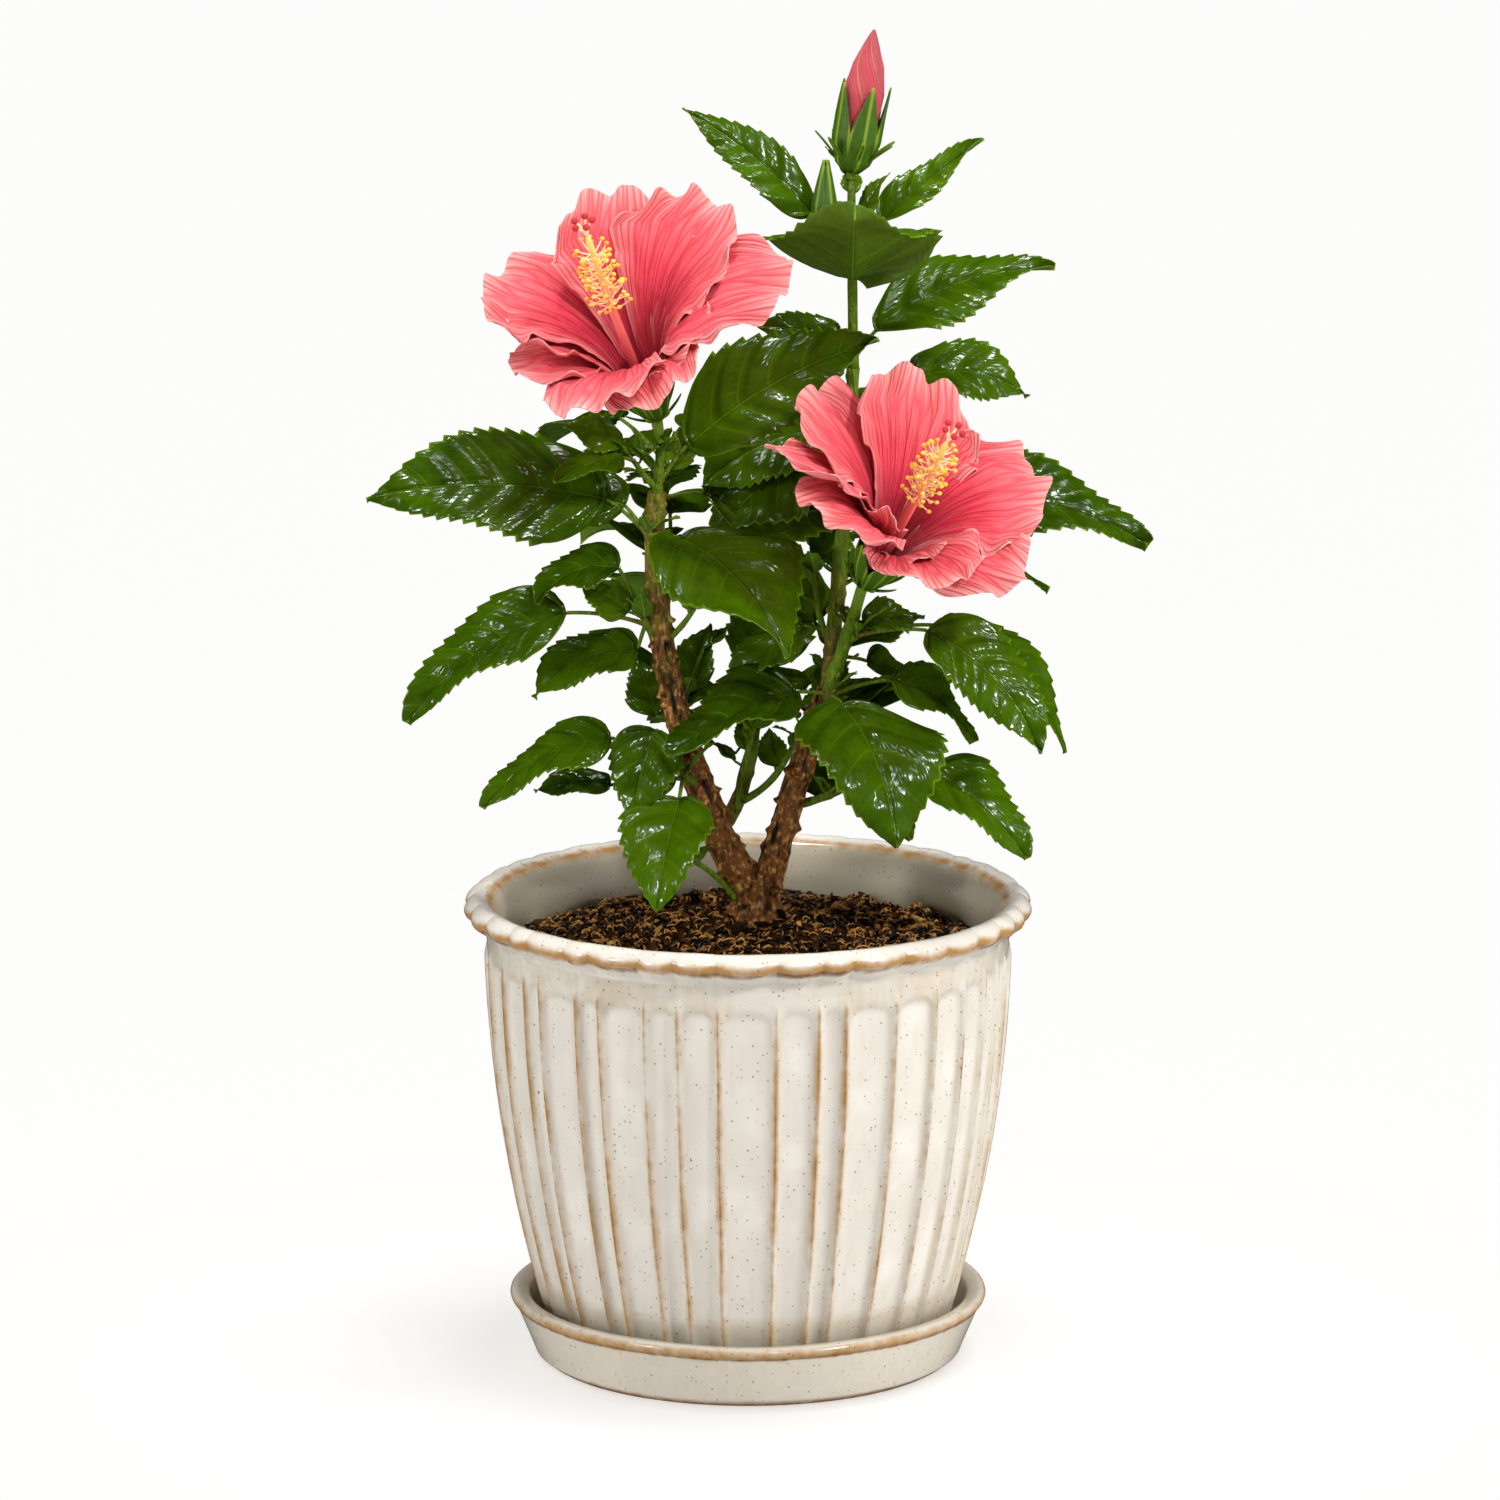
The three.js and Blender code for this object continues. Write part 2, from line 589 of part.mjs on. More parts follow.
// Leaves that fill out a spray where it turns away from the front. Their headings and sizes are dealt out
// evenly with a little chance. A leaf that comes near a limb or another leaf is dealt again, and is left out
// after a few tries.
function fillLeaves({ fill }, stem, taken) {
  const { seed, count, from, to, long } = fill
  const chance = dice(seed)
  const grown = []
  for (let k = 0; k < count; k++) {
    const share = (0.5 + k * 0.618) % 1
    for (let attempt = 0; attempt < fillTries; attempt++) {
      const size = long * (0.8 + 0.3 * chance())
      const leaf = {
        at: 0.25 + (0.75 * (k + 1)) / count,
        to: from + (to - from) * share + 24 * (chance() - 0.5),
        stalk: 12 + 16 * chance(),
        lift: 50 * chance(),
        long: size,
        wide: size * 0.62,
        pitch: 24 - 34 * chance(),
        bend: 30 + 26 * chance(),
        roll: 40 * (chance() - 0.5)
      }
      const marks = bladeMarks(stem, leaf)
      if (isClear(marks, limbMarks, room.limb) && isClear(marks, taken, room.leaf)) {
        grown.push(leaf)
        taken.push(...marks)
        break
      }
    }
  }
  return grown
}

// A thin closed sheet through point(s, q), with s from 0 to 1 along it and q from -1 to 1 across it
function sheet(point, rows, columns, thick) {
  const at = (i, j) => point(i / rows, (2 * j) / columns - 1)
  const top = []
  const under = []
  const step = 1e-3
  for (let i = 0; i <= rows; i++) {
    for (let j = 0; j <= columns; j++) {
      const s = Math.min(Math.max(i / rows, step), 1 - step)
      const q = Math.min(Math.max((2 * j) / columns - 1, step - 1), 1 - step)
      const along = point(s + step, q).sub(point(s - step, q))
      const across = point(s, q + step).sub(point(s, q - step))
      const normal = along.cross(across).normalize().multiplyScalar(thick / 2)
      top.push(at(i, j).add(normal))
      under.push(at(i, j).sub(normal))
    }
  }
  const width = columns + 1
  const count = top.length
  const faces = []
  const quad = (a, b, c, d) => faces.push([a, b, c], [a, c, d])
  for (let i = 0; i < rows; i++) {
    for (let j = 0; j < columns; j++) {
      const a = i * width + j
      quad(a, a + width, a + width + 1, a + 1)
      quad(count + a, count + a + 1, count + a + width + 1, count + a + width)
    }
  }
  for (let j = 0; j < columns; j++) {
    const far = rows * width + j
    quad(j, j + 1, count + j + 1, count + j)
    quad(far + 1, far, count + far, count + far + 1)
  }
  for (let i = 0; i < rows; i++) {
    const a = i * width
    const b = a + columns
    quad(a + width, a, count + a, count + a + width)
    quad(b, b + width, count + b + width, count + b)
  }
  return toManifold({ points: [...top, ...under], faces })
}

// A frame round an axis: right is level, and up is square to both
function frameOf(base, axis) {
  const ahead = vector(axis).normalize()
  const right = new THREE.Vector3(0, 0, 1).cross(ahead).normalize()
  const up = ahead.clone().cross(right)
  return { base: vector(base), ahead, right, up }
}

function inFrame({ base, ahead, right, up }, radius, bearing, height) {
  return base.clone()
    .addScaledVector(right, radius * Math.cos(bearing))
    .addScaledVector(up, radius * Math.sin(bearing))
    .addScaledVector(ahead, height)
}

// A petal rises in a narrow claw and then flares out, with a ruffled edge
function makePetal(frame, { bearing, long, wide, flare, wave }) {
  const { thick, claw, clawAngle, clawWidth, round, end, rows, columns, ruffle } = petal
  const point = (s, q) => {
    const strides = 12
    let radius = 2
    let height = 0
    for (let i = 0; i < strides; i++) {
      const u = (s * (i + 0.5)) / strides
      const open = THREE.MathUtils.smoothstep(u, claw * 0.5, 1)
      const lean = radians(clawAngle + (flare - clawAngle) * open)
      radius += (Math.sin(lean) * long * s) / strides
      height += (Math.cos(lean) * long * s) / strides
    }
    const spread = THREE.MathUtils.smoothstep(s, claw * 0.6, 0.8)
    const rounding = Math.sqrt(Math.max(0, 1 - (Math.max(0, s - round) / end) ** 2))
    const half = ((clawWidth + (wide - clawWidth) * spread) / 2) * rounding
    const turn = (q * half) / Math.max(radius, half * 1.1)
    const edge = s ** 3 * ruffle
    const lift = edge * Math.sin(4.2 * q + wave) + 3 * q * s - 2 * s * q * q
    const reach = radius * (1 - 0.1 * s * q * q)
    return inFrame(frame, reach, radians(bearing) + turn, height + lift)
  }
  return sheet(point, rows, columns, thick)
}

function makeBloom(bloom) {
  const frame = frameOf(bloom.base, bloom.axis)
  const parts = bloom.petals.map((row) => makePetal(frame, row))
  const along = (height) => inFrame(frame, 0, 0, height)
  const stalkEnd = along(3)
  parts.push(tube([vector(bloom.stalk), along(-2), stalkEnd], [2, 2.2, 2.4], 6))
  parts.push(tube([along(-1), along(5), along(14), along(24)], [2.6, 6.2, 7.4, 9.4], 7))
  const { radius, stamens, low, high, reach, rise, turn } = column
  const long = bloom.columnLong
  parts.push(tube([along(2), along(long * low), along(long)], [radius, radius, 1.3], 6))
  for (let k = 0; k < stamens; k++) {
    const height = long * (low + ((high - low) * k) / (stamens - 1))
    const tip = inFrame(frame, reach, k * turn, height + rise)
    parts.push(tube([along(height), tip], [1, 0.7], 3))
  }
  return joined(parts)
}

function makeSideBud(stem) {
  const { at, foot, tip, radius } = sideBud
  const node = onLimb(stem, at)
  const low = node.clone().add(vector(foot))
  const high = node.clone().add(vector(tip))
  const along = (t) => low.clone().lerp(high, t)
  return tube([node, low, along(0.3), along(0.6), high], [1.2, 1.6, radius, radius * 0.8, 0.5], 6)
}

function makeBud() {
  const frame = frameOf(bud.base, bud.axis)
  const along = (height) => inFrame(frame, 0, 0, height)
  const shape = [[0, 0.3], [0.05, 0.7], [0.18, 1], [0.4, 0.95], [0.56, 1], [0.75, 0.75], [0.9, 0.36], [1, 0.06]]
  const centres = shape.map(([share]) => along(share * bud.long))
  const radii = shape.map(([, share]) => share * bud.radius)
  const parts = [tube(centres, radii, 8), tube([along(-3), along(3)], [1.6, 2], 5)]
  for (let k = 0; k < bud.lobes; k++) {
    const bearing = (k * 2 * Math.PI) / bud.lobes
    const tip = inFrame(frame, bud.radius + 1.8, bearing, bud.long * 0.6)
    parts.push(tube([inFrame(frame, bud.radius - 1.6, bearing, bud.long * 0.2), tip], [2.6, 0.5], 4))
  }
  for (let k = 0; k < bud.bracts; k++) {
    const bearing = (k * 2 * Math.PI) / bud.bracts
    const tip = inFrame(frame, 2 * bud.radius, bearing, bud.long * 0.24)
    parts.push(tube([along(1.5), inFrame(frame, bud.radius, bearing, 3.5), tip], [1.2, 1.4, 0.4], 3))
  }
  return joined(parts)
}

const group = new THREE.Group()
const { glaze, bark, green, leaf: leafGreen, petal: petalPink } = colours
group.add(toMesh('saucer', makeSaucer(), glaze, 0.3))
group.add(toMesh('pot', makePot(), glaze, 0.3))
group.add(toMesh('soil', makeSoil(), colours.soil, 0.95))

// Each limb is cut clear of the ones it grows from
const cutters = []
for (const [name, limb] of Object.entries(limbs)) {
  let solid = limbSolid(limb, limbSides, limbSteps)
  for (const cutter of cutters) {
    solid = solid.subtract(cutter)
  }
  const isWoody = woody.includes(name)
  group.add(toMesh(name, largest(solid), isWoody ? bark : green, 0.8))
  cutters.push(limbSolid(limb, limbSides, limbSteps, gap))
}
const limbCutter = joined(cutters)

const stems = sprays.map(stemOf)
const taken = sprays.flatMap((spray, i) => spray.leaves.flatMap((leaf) => bladeMarks(stems[i], leaf)))
sprays.forEach((spray, i) => {
  const stem = stems[i]
  const leaves = spray.fill ? [...spray.leaves, ...fillLeaves(spray, stem, taken)] : spray.leaves
  const parts = [limbSolid(stem, 6, 3), ...leaves.map((leaf) => makeLeaf(stem, leaf))]
  if (spray.name === sideBud.spray) {
    parts.push(makeSideBud(stem))
  }
  group.add(toMesh(spray.name, largest(joined(parts).subtract(limbCutter)), leafGreen, 0.45))
})

for (const bloom of blooms) {
  group.add(toMesh(bloom.name, largest(makeBloom(bloom).subtract(limbCutter)), petalPink, 0.5))
}
group.add(toMesh('bud_top', largest(makeBud()), petalPink, 0.5))

export default group
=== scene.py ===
# Potted hibiscus shrub in a fluted stoneware pot, dressed for rendering.
# Sizes in the dictionaries are millimetres in the model's own frame: +Z up, -Y to the front.
import math
import bpy
import numpy as np
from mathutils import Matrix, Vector


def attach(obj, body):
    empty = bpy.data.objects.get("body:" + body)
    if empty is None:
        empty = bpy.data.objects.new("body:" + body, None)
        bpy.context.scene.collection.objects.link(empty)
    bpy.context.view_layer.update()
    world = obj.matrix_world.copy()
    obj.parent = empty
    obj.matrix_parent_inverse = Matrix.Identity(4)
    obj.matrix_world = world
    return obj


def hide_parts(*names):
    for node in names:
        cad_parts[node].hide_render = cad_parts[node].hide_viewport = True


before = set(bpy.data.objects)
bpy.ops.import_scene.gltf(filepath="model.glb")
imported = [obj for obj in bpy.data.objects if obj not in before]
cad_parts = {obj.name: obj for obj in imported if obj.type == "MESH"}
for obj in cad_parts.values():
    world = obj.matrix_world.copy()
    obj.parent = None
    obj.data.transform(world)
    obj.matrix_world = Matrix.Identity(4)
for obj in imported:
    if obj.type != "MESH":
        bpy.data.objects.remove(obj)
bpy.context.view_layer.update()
millimetre = 0.001
golden = 2.39996  # the turn in radians from one leaf scar or stamen to the next
foliage = bpy.data.collections.new("foliage")  # the leaf pieces, which the cards light


# Camera, floor and light

cameraSetup = {"lens": 200, "sensor": 36, "target": (0.77, 0, 237.5), "distance": 3186, "pitch": 12}
studio = {
    "floorSize": 30, "floor": "#DEDDDC", "floorGlow": 0.605, "floorRoughness": 0.9,
    "sky": "#FFFFFF", "skyStrength": 0.13,
    # each lamp: its kind, where it hangs, its width (a sun's is in degrees), its watts (a sun's strength) and
    # its part: a glint shows in gloss, a dull one doesn't, a card shows only in the gloss of the leaves, and
    # the sky lights the floor too
    "lamps": [("left", "AREA", (-1600, -1300, 1000), 200, 12, "glint"),
              ("back", "AREA", (-500, 1500, 1700), 240, 14, "dull"),
              ("top", "AREA", (-300, 100, 1900), 160, 12, "glint"),
              ("highBack", "AREA", (600, 1000, 1800), 220, 10, "dull"),
              ("front", "AREA", (350, -1500, 1450), 130, 8, "glint"),
              ("sideLeft", "AREA", (-1700, -350, 120), 1000, 22, "dull"),
              ("sideRight", "AREA", (1700, -350, 120), 1000, 28, "dull"),
              ("cardFront", "AREA", (250, -900, 1900), 320, 4.5, "card"),
              ("cardLeft", "AREA", (-600, 200, 1850), 320, 3.5, "card"),
              ("cardRight", "AREA", (950, 100, 1700), 320, 4.5, "card"),
              ("key", "SUN", (1450, -1350, 1550), 6, 1.85, "glint"),
              ("overhead", "SUN", (120, -40, 1500), 24, 1.32, "sky")],
}


def linear(hexCode):
    channels = [int(hexCode[k:k + 2], 16) / 255 for k in (1, 3, 5)]
    return [c / 12.92 if c <= 0.04045 else ((c + 0.055) / 1.055) ** 2.4 for c in channels] + [1.0]


def buildStudio():
    scene = bpy.context.scene
    tilt = math.radians(cameraSetup["pitch"])
    target = Vector(cameraSetup["target"]) * millimetre
    reach = cameraSetup["distance"] * millimetre
    data = bpy.data.cameras.new("camera")
    data.lens = cameraSetup["lens"]
    data.sensor_width = cameraSetup["sensor"]
    camera = bpy.data.objects.new("camera", data)
    camera.location = target + Vector((0, -math.cos(tilt), math.sin(tilt))) * reach
    camera.rotation_euler = (math.radians(90) - tilt, 0, 0)
    scene.collection.objects.link(camera)
    scene.camera = camera
    # the floor is a backdrop lit on its own: its glare stays off the leaves and the glaze, and only the
    # overhead sun and the sky throw shadows on it
    backdrop = bpy.data.collections.new("backdrop")
    for name, kind, place, width, power, role in studio["lamps"]:
        lamp = bpy.data.lights.new(name, kind)
        lamp.energy = power
        light = bpy.data.objects.new(name, lamp)
        if kind == "SUN":
            lamp.angle = math.radians(width)
            light.rotation_euler = Vector(place).to_track_quat("Z", "Y").to_euler()
        else:
            lamp.size = width * millimetre
            light.location = Vector(place) * millimetre
            light.rotation_euler = (target - light.location).to_track_quat("-Z", "Y").to_euler()
        light.visible_glossy = role in ("glint", "card")
        light.visible_diffuse = role != "card"
        if role != "sky":
            light.light_linking.receiver_collection = foliage if role == "card" else backdrop
        scene.collection.objects.link(light)
    world = bpy.data.worlds.new("studio")
    world.use_nodes = True
    background = world.node_tree.nodes["Background"]
    feed(world.node_tree, background, {"Color": linear(studio["sky"]), "Strength": studio["skyStrength"]})
    # black flags round the set: the gloss shows the lamps and not the white room
    world.cycles_visibility.glossy = False
    scene.world = world
    scene.view_settings.view_transform = "Standard"
    bpy.ops.mesh.primitive_plane_add(size=studio["floorSize"])
    floor = bpy.context.active_object
    floor.name = "floor"
    material, tree, shader = newMaterial("paintedFloor")[:3]
    feed(tree, shader, {"Base Color": linear(studio["floor"]), "Roughness": studio["floorRoughness"],
                        "Emission Color": linear(studio["sky"]), "Emission Strength": studio["floorGlow"]})
    floor.data.materials.append(material)
    floor.visible_glossy = False
    backdrop.objects.link(floor)
    backdrop.collection_objects[0].light_linking.link_state = "EXCLUDE"


# Nodes and meshes

def feed(tree, node, inputs):
    for socket, value in inputs.items():
        if isinstance(value, bpy.types.NodeSocket):
            tree.links.new(value, node.inputs[socket])
        else:
            node.inputs[socket].default_value = value


def addNode(tree, kind, inputs=None, out=0, **settings):
    # adds a node with its settings and links, and gives one of its outputs
    node = tree.nodes.new("ShaderNode" + kind)
    for name, value in settings.items():
        setattr(node, name, value)
    feed(tree, node, inputs or {})
    return node.outputs[out]


def newMaterial(name, *marks):
    # a material, its tree and shader, the place in the model, and the marks that its meshes carry
    material = bpy.data.materials.new(name)
    material.use_nodes = True
    tree = material.node_tree
    place = addNode(tree, "TexCoord", out="Object")
    values = [addNode(tree, "Attribute", out="Fac", attribute_name=mark) for mark in marks]
    return material, tree, tree.nodes["Principled BSDF"], place, *values


def noise(points, cell, seed):
    # smooth value noise from -1 to 1, with cells of the given size
    scaled = np.asarray(points, float) / cell
    corner = np.floor(scaled).astype(np.int64)
    part = scaled - corner
    part = part * part * (3 - 2 * part)
    total = 0
    for k in range(8):
        step = np.array([k & 1, k >> 1 & 1, k >> 2 & 1])
        at = corner + step
        mix = at[..., 0] * 73856093 ^ at[..., 1] * 19349663 ^ at[..., 2] * 83492791 ^ seed * 49979693
        mix = (mix ^ mix >> 13) * 1274126177 & 0xffffffff
        share = np.where(step, part, 1 - part).prod(-1)
        total = total + share * ((mix ^ mix >> 16) & 0xffff) / 65535
    return 2 * total - 1


def smooth(value, low, high):
    t = np.clip((value - low) / (high - low), 0, 1)
    return t * t * (3 - 2 * t)


def bell(value, width):
    return np.exp(-(value / width) ** 2)


def spread(*parts):
    # points from their coordinates, each brought to the common shape
    return np.stack(np.broadcast_arrays(*parts), -1)


def turnsOf(sides):
    return 2 * np.pi * np.arange(sides) / sides


def strip(rows, columns):
    # shares along a strip, and across it from one edge to the other
    return np.linspace(0, 1, rows)[:, None], np.linspace(-1, 1, columns)[None, :]


def unit(vector):
    return vector / np.linalg.norm(vector, axis=-1, keepdims=True)


def gridFaces(rows, columns, ring=False):
    k = np.arange(rows - 1)[:, None] * columns
    j = np.arange(columns if ring else columns - 1)[None, :]
    a, b = k + j, k + (j + 1) % columns
    return np.stack([a, a + columns, b + columns, b], -1).reshape(-1, 4)


def chunk(points, faces, **marks):
    # a bundle of mesh: its points, its faces by number of corners, and one value a point for each mark
    points = np.asarray(points, float).reshape(-1, 3)
    marks = {key: np.broadcast_to(np.ravel(value), len(points)) for key, value in marks.items()}
    return {"points": points, "faces": faces, "marks": marks}


def sheet(grid, thick, **marks):
    # a thin closed sheet round a grid of points; the mark under tells its two sides apart
    rows, columns = grid.shape[:2]
    normal = np.cross(np.gradient(grid, axis=0), np.gradient(grid, axis=1))
    normal /= np.linalg.norm(normal, axis=-1, keepdims=True) + 1e-12
    half = normal * np.broadcast_to(np.asarray(thick, float), (rows, columns))[..., None] / 2
    points = np.concatenate([(grid + half).reshape(-1, 3), (grid - half).reshape(-1, 3)])
    count = rows * columns
    top = gridFaces(rows, columns)
    j = np.arange(columns - 1)
    i = np.arange(rows - 1) * columns
    far = (rows - 1) * columns + j
    b = i + columns - 1
    rims = [np.stack([j, j + 1, count + j + 1, count + j], -1),
            np.stack([far + 1, far, count + far, count + far + 1], -1),
            np.stack([i + columns, i, count + i, count + i + columns], -1),
            np.stack([b, b + columns, count + b + columns, count + b], -1)]
    marks = {k: np.tile(np.broadcast_to(v, (rows, columns)).reshape(-1), 2) for k, v in marks.items()}
    marks["under"] = np.repeat([1.0, 0.0], count)
    return chunk(points, [np.concatenate([top, (top + count)[:, ::-1], *rims])], **marks)


def tube(centres, radii, sides, **marks):
    # a closed tapering tube; radii and marks may be one value a ring or one a point
    centres = np.asarray(centres, float)
    rings = len(centres)
    ahead = np.gradient(centres, axis=0)
    ahead /= np.linalg.norm(ahead, axis=1, keepdims=True) + 1e-12
    guide = np.zeros(3)
    guide[np.argmin(np.abs(ahead.sum(0)))] = 1
    side = unit(np.cross(ahead, guide))
    up = np.cross(ahead, side)
    angle = turnsOf(sides)
    radii = np.asarray(radii, float)
    radii = radii[:, None] * np.ones(sides) if radii.ndim == 1 else radii
    ring = side[:, None] * np.cos(angle)[None, :, None] + up[:, None] * np.sin(angle)[None, :, None]
    points = centres[:, None] + ring * radii[..., None]
    marks = {k: np.repeat(v, sides) if np.size(v) == rings else v for k, v in marks.items()}
    return chunk(points, closedRings(rings, sides), **marks)


def closedRings(rings, sides):
    # the faces of a stack of rings, with a cap on each end
    ends = np.stack([np.arange(sides)[::-1], (rings - 1) * sides + np.arange(sides)])
    return [gridFaces(rings, sides, ring=True)[:, ::-1], ends]


def ball(centre, radius, stretch=(1, 1, 1), rows=6, sides=8, **marks):
    tilt = np.pi * (np.arange(1, rows) / rows)[:, None]
    turn = turnsOf(sides)
    body = spread(np.sin(tilt) * np.cos(turn), np.sin(tilt) * np.sin(turn), np.cos(tilt)).reshape(-1, 3)
    points = np.concatenate([body, [[0, 0, 1], [0, 0, -1]]]) * radius * np.asarray(stretch, float)
    k = np.arange(sides)
    last = (rows - 2) * sides
    caps = np.concatenate([np.stack([np.full(sides, len(body)), k, (k + 1) % sides], -1),
                           np.stack([np.full(sides, len(body) + 1), last + (k + 1) % sides, last + k], -1)])
    return chunk(points + centre, [gridFaces(rows - 1, sides, ring=True), caps], **marks)


def buildPiece(name, chunks, material, nodes):
    # joins chunks into one object in the model's frame, which stands for the named solids
    points = np.concatenate([c["points"] for c in chunks]) * millimetre
    corners, sizes, offset = [], [], 0
    for c in chunks:
        for faces in c["faces"]:
            corners.append((faces + offset).ravel())
            sizes.append(np.full(len(faces), faces.shape[1]))
        offset += len(c["points"])
    corners, sizes = np.concatenate(corners), np.concatenate(sizes)
    mesh = bpy.data.meshes.new(name)
    mesh.vertices.add(len(points))
    mesh.vertices.foreach_set("co", points.astype(np.float32).ravel())
    mesh.loops.add(len(corners))
    mesh.loops.foreach_set("vertex_index", corners.astype(np.int32))
    mesh.polygons.add(len(sizes))
    mesh.polygons.foreach_set("loop_start", (np.cumsum(sizes) - sizes).astype(np.int32))
    for key in sorted({key for c in chunks for key in c["marks"]}):
        values = np.concatenate([c["marks"].get(key, np.zeros(len(c["points"]))) for c in chunks])
        mesh.attributes.new(key, "FLOAT", "POINT").data.foreach_set("value", values.astype(np.float32))
    mesh.update(calc_edges=True)
    mesh.polygons.foreach_set("use_smooth", np.ones(len(sizes), bool))
    mesh.materials.append(material)
    piece = bpy.data.objects.new(name, mesh)
    bpy.context.scene.collection.objects.link(piece)
    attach(piece, "root")
    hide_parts(*nodes)
    print(name, "triangles:", int((sizes - 2).sum()))
    return piece


# Limbs: where each starts, its reach, its bow at the middle, and its radius at the foot and at the tip

limbs = {
    "trunk": {"start": (3.5, 0, 170.3), "reach": (0, 0, 17.5), "bow": (0, 0, 0), "foot": 8.6, "tip": 7.4,
              "flare": 4},
    "bough_left": {"start": (-0.5, 0, 183), "reach": (-34, -5, 155.5), "bow": (-11.5, 0, 0), "foot": 6.3,
                   "tip": 3.4},
    "bough_right": {"start": (6.5, -1, 182), "reach": (24, -6, 80), "bow": (-1, 0, 0), "foot": 5.8, "tip": 4.2},
    "bough_middle": {"start": (-11, 3, 205), "reach": (13.5, 9, 35), "bow": (2, 0, -2), "foot": 2.9, "tip": 2.1},
    "leader": {"start": (30.5, -4, 262), "reach": (9.5, 13, 122), "bow": (1, 4, 0), "foot": 3.2, "tip": 2.5},
    "shoot_right": {"start": (31, -9, 262), "reach": (12.5, -11, 43), "bow": (0, 0, 0), "foot": 3, "tip": 2.2},
}
# Bark: how far the limb goes on past its start, how green it is at the foot and at the tip (0 is brown),
# how far apart its leaf scars are and how far they stand out. A scar and a stub of a lost twig are each
# given their half size along the limb and their half angle round it.
bark = {
    "trunk": {"under": 0, "green": (0, 0), "scars": 9, "knob": 0.9},
    "bough_left": {"under": 9, "green": (-0.1, 0.56), "scars": 12, "knob": 1.5},
    "bough_right": {"under": 9, "green": (-0.2, 0.2), "scars": 11, "knob": 1.4},
    "bough_middle": {"under": 4, "green": (0.3, 0.8), "scars": 10, "knob": 0.7},
    "leader": {"under": 3, "green": (0.45, 1.1), "scars": 14, "knob": 0.6},
    "shoot_right": {"under": 3, "green": (0.75, 1.1), "scars": 13, "knob": 0.5},
    "sides": 44, "step": 0.8, "fissure": 0.8, "grain": 2.4, "grainStretch": 3.5, "lump": 7.5,
    "scar": (1.7, 0.62), "ledge": 0.8, "stub": (1.1, 0.34), "stubsApart": 6,
}


def onLimb(limb, t):
    t = np.asarray(t, float)[..., None]
    start, reach, bow = (np.array(limb[k], float) for k in ("start", "reach", "bow"))
    return start + reach * t + bow * 4 * t * (1 - t)


def limbChunk(name, seed):
    limb, look = limbs[name], bark[name]
    long = np.linalg.norm(limb["reach"])
    t = np.linspace(-look["under"] / long, 1, int((long + look["under"]) / bark["step"]))
    shape = np.clip(t, 0, 1)
    radius = limb["foot"] + (limb["tip"] - limb["foot"]) * shape + limb.get("flare", 0) * (1 - shape) ** 3
    radius = radius[:, None]
    angle = turnsOf(bark["sides"])
    place = spread(np.cos(angle) * radius, np.sin(angle) * radius, (t * long)[:, None] / bark["grainStretch"])
    fissures = noise(place, bark["grain"], seed) * 0.6 + noise(place, bark["grain"] / 2.3, seed + 1) * 0.4
    lumps = noise(place * [1, 1, bark["grainStretch"]], bark["lump"], seed + 2)
    radii = radius + bark["fissure"] * fissures * (radius / 5) + 0.5 * lumps * (radius / 6)

    def away(at, turn):
        # how far each point is from a place on the limb, along it and round it
        return (t * long - at)[:, None], np.abs((angle - turn + np.pi) % (2 * np.pi) - np.pi)[None, :]

    for k in range(int(long / look["scars"])):
        along, aside = away((k + 0.6) * look["scars"], k * golden + seed)
        scar = bell(along, bark["scar"][0]) * bell(aside, bark["scar"][1]) + 0.22 * bell(along, bark["ledge"])
        radii += 1.5 * look["knob"] * scar * (0.7 + 0.3 * np.sin(3.1 * k))
    for k in range(int(long / bark["stubsApart"])):
        along, aside = away((0.5 + k * 0.618) % 1 * long, 2.1 * k + 1.7 * seed)
        stub = bell(along, bark["stub"][0]) * bell(aside, bark["stub"][1])
        radii += (1.3 + 0.7 * np.sin(5.7 * k)) * look["knob"] * stub
    if limb.get("flare"):
        roots = np.cos(5 * angle + 0.7) * 2.2 + np.cos(3 * angle + 2) * 1.5
        radii += roots[None, :] * (1 - shape[:, None]) ** 2
    low, high = look["green"]
    return tube(onLimb(limb, t), radii, bark["sides"], green=low + (high - low) * shape,
                crack=np.clip(-fissures, 0, 1))


# Leaves: each row is at, to, stalkTo, stalk, lift, long, wide, pitch, bend, roll. Headings are 0 to the
# right, 90 to the back; at is the place along the spray's stem, stalk and lift are the leaf stalk's length
# and rise, pitch is the blade's slope at its base, bend how far it turns down and roll how far it leans.
leafKeys = ("at", "to", "stalkTo", "stalk", "lift", "long", "wide", "pitch", "bend", "roll")
blade = {"fold": 18, "peak": 0.3773, "blunt": 1.05, "least": 0.6, "rows": (0.01, 0.06, 0.18, 0.36, 0.56, 0.8, 1),
         "small": 35, "fewRows": (0.01, 0.1, 0.32, 0.66, 1), "thick": 0.5, "stalk": 0.9,
         # the edge: a smooth share at the base, then teeth, which crowd a little towards the tip
         "smoothShare": 0.24, "crowding": 0.94, "toothDepth": 0.11, "deepest": 2.4, "teeth": 5, "toothEvery": 11,
         "tooth": ((0, 0), (0.35, 0.34), (0.7, 0.74), (0.92, 1)),
         # the face: its side veins fan forward, it puffs up between them, droops, waves and twists
         "fan": 0.8, "columns": 10, "quilt": 1.1, "droop": 0.24, "wave": 0.16, "twist": 16, "twistFrom": 20,
         "groove": 0.55}
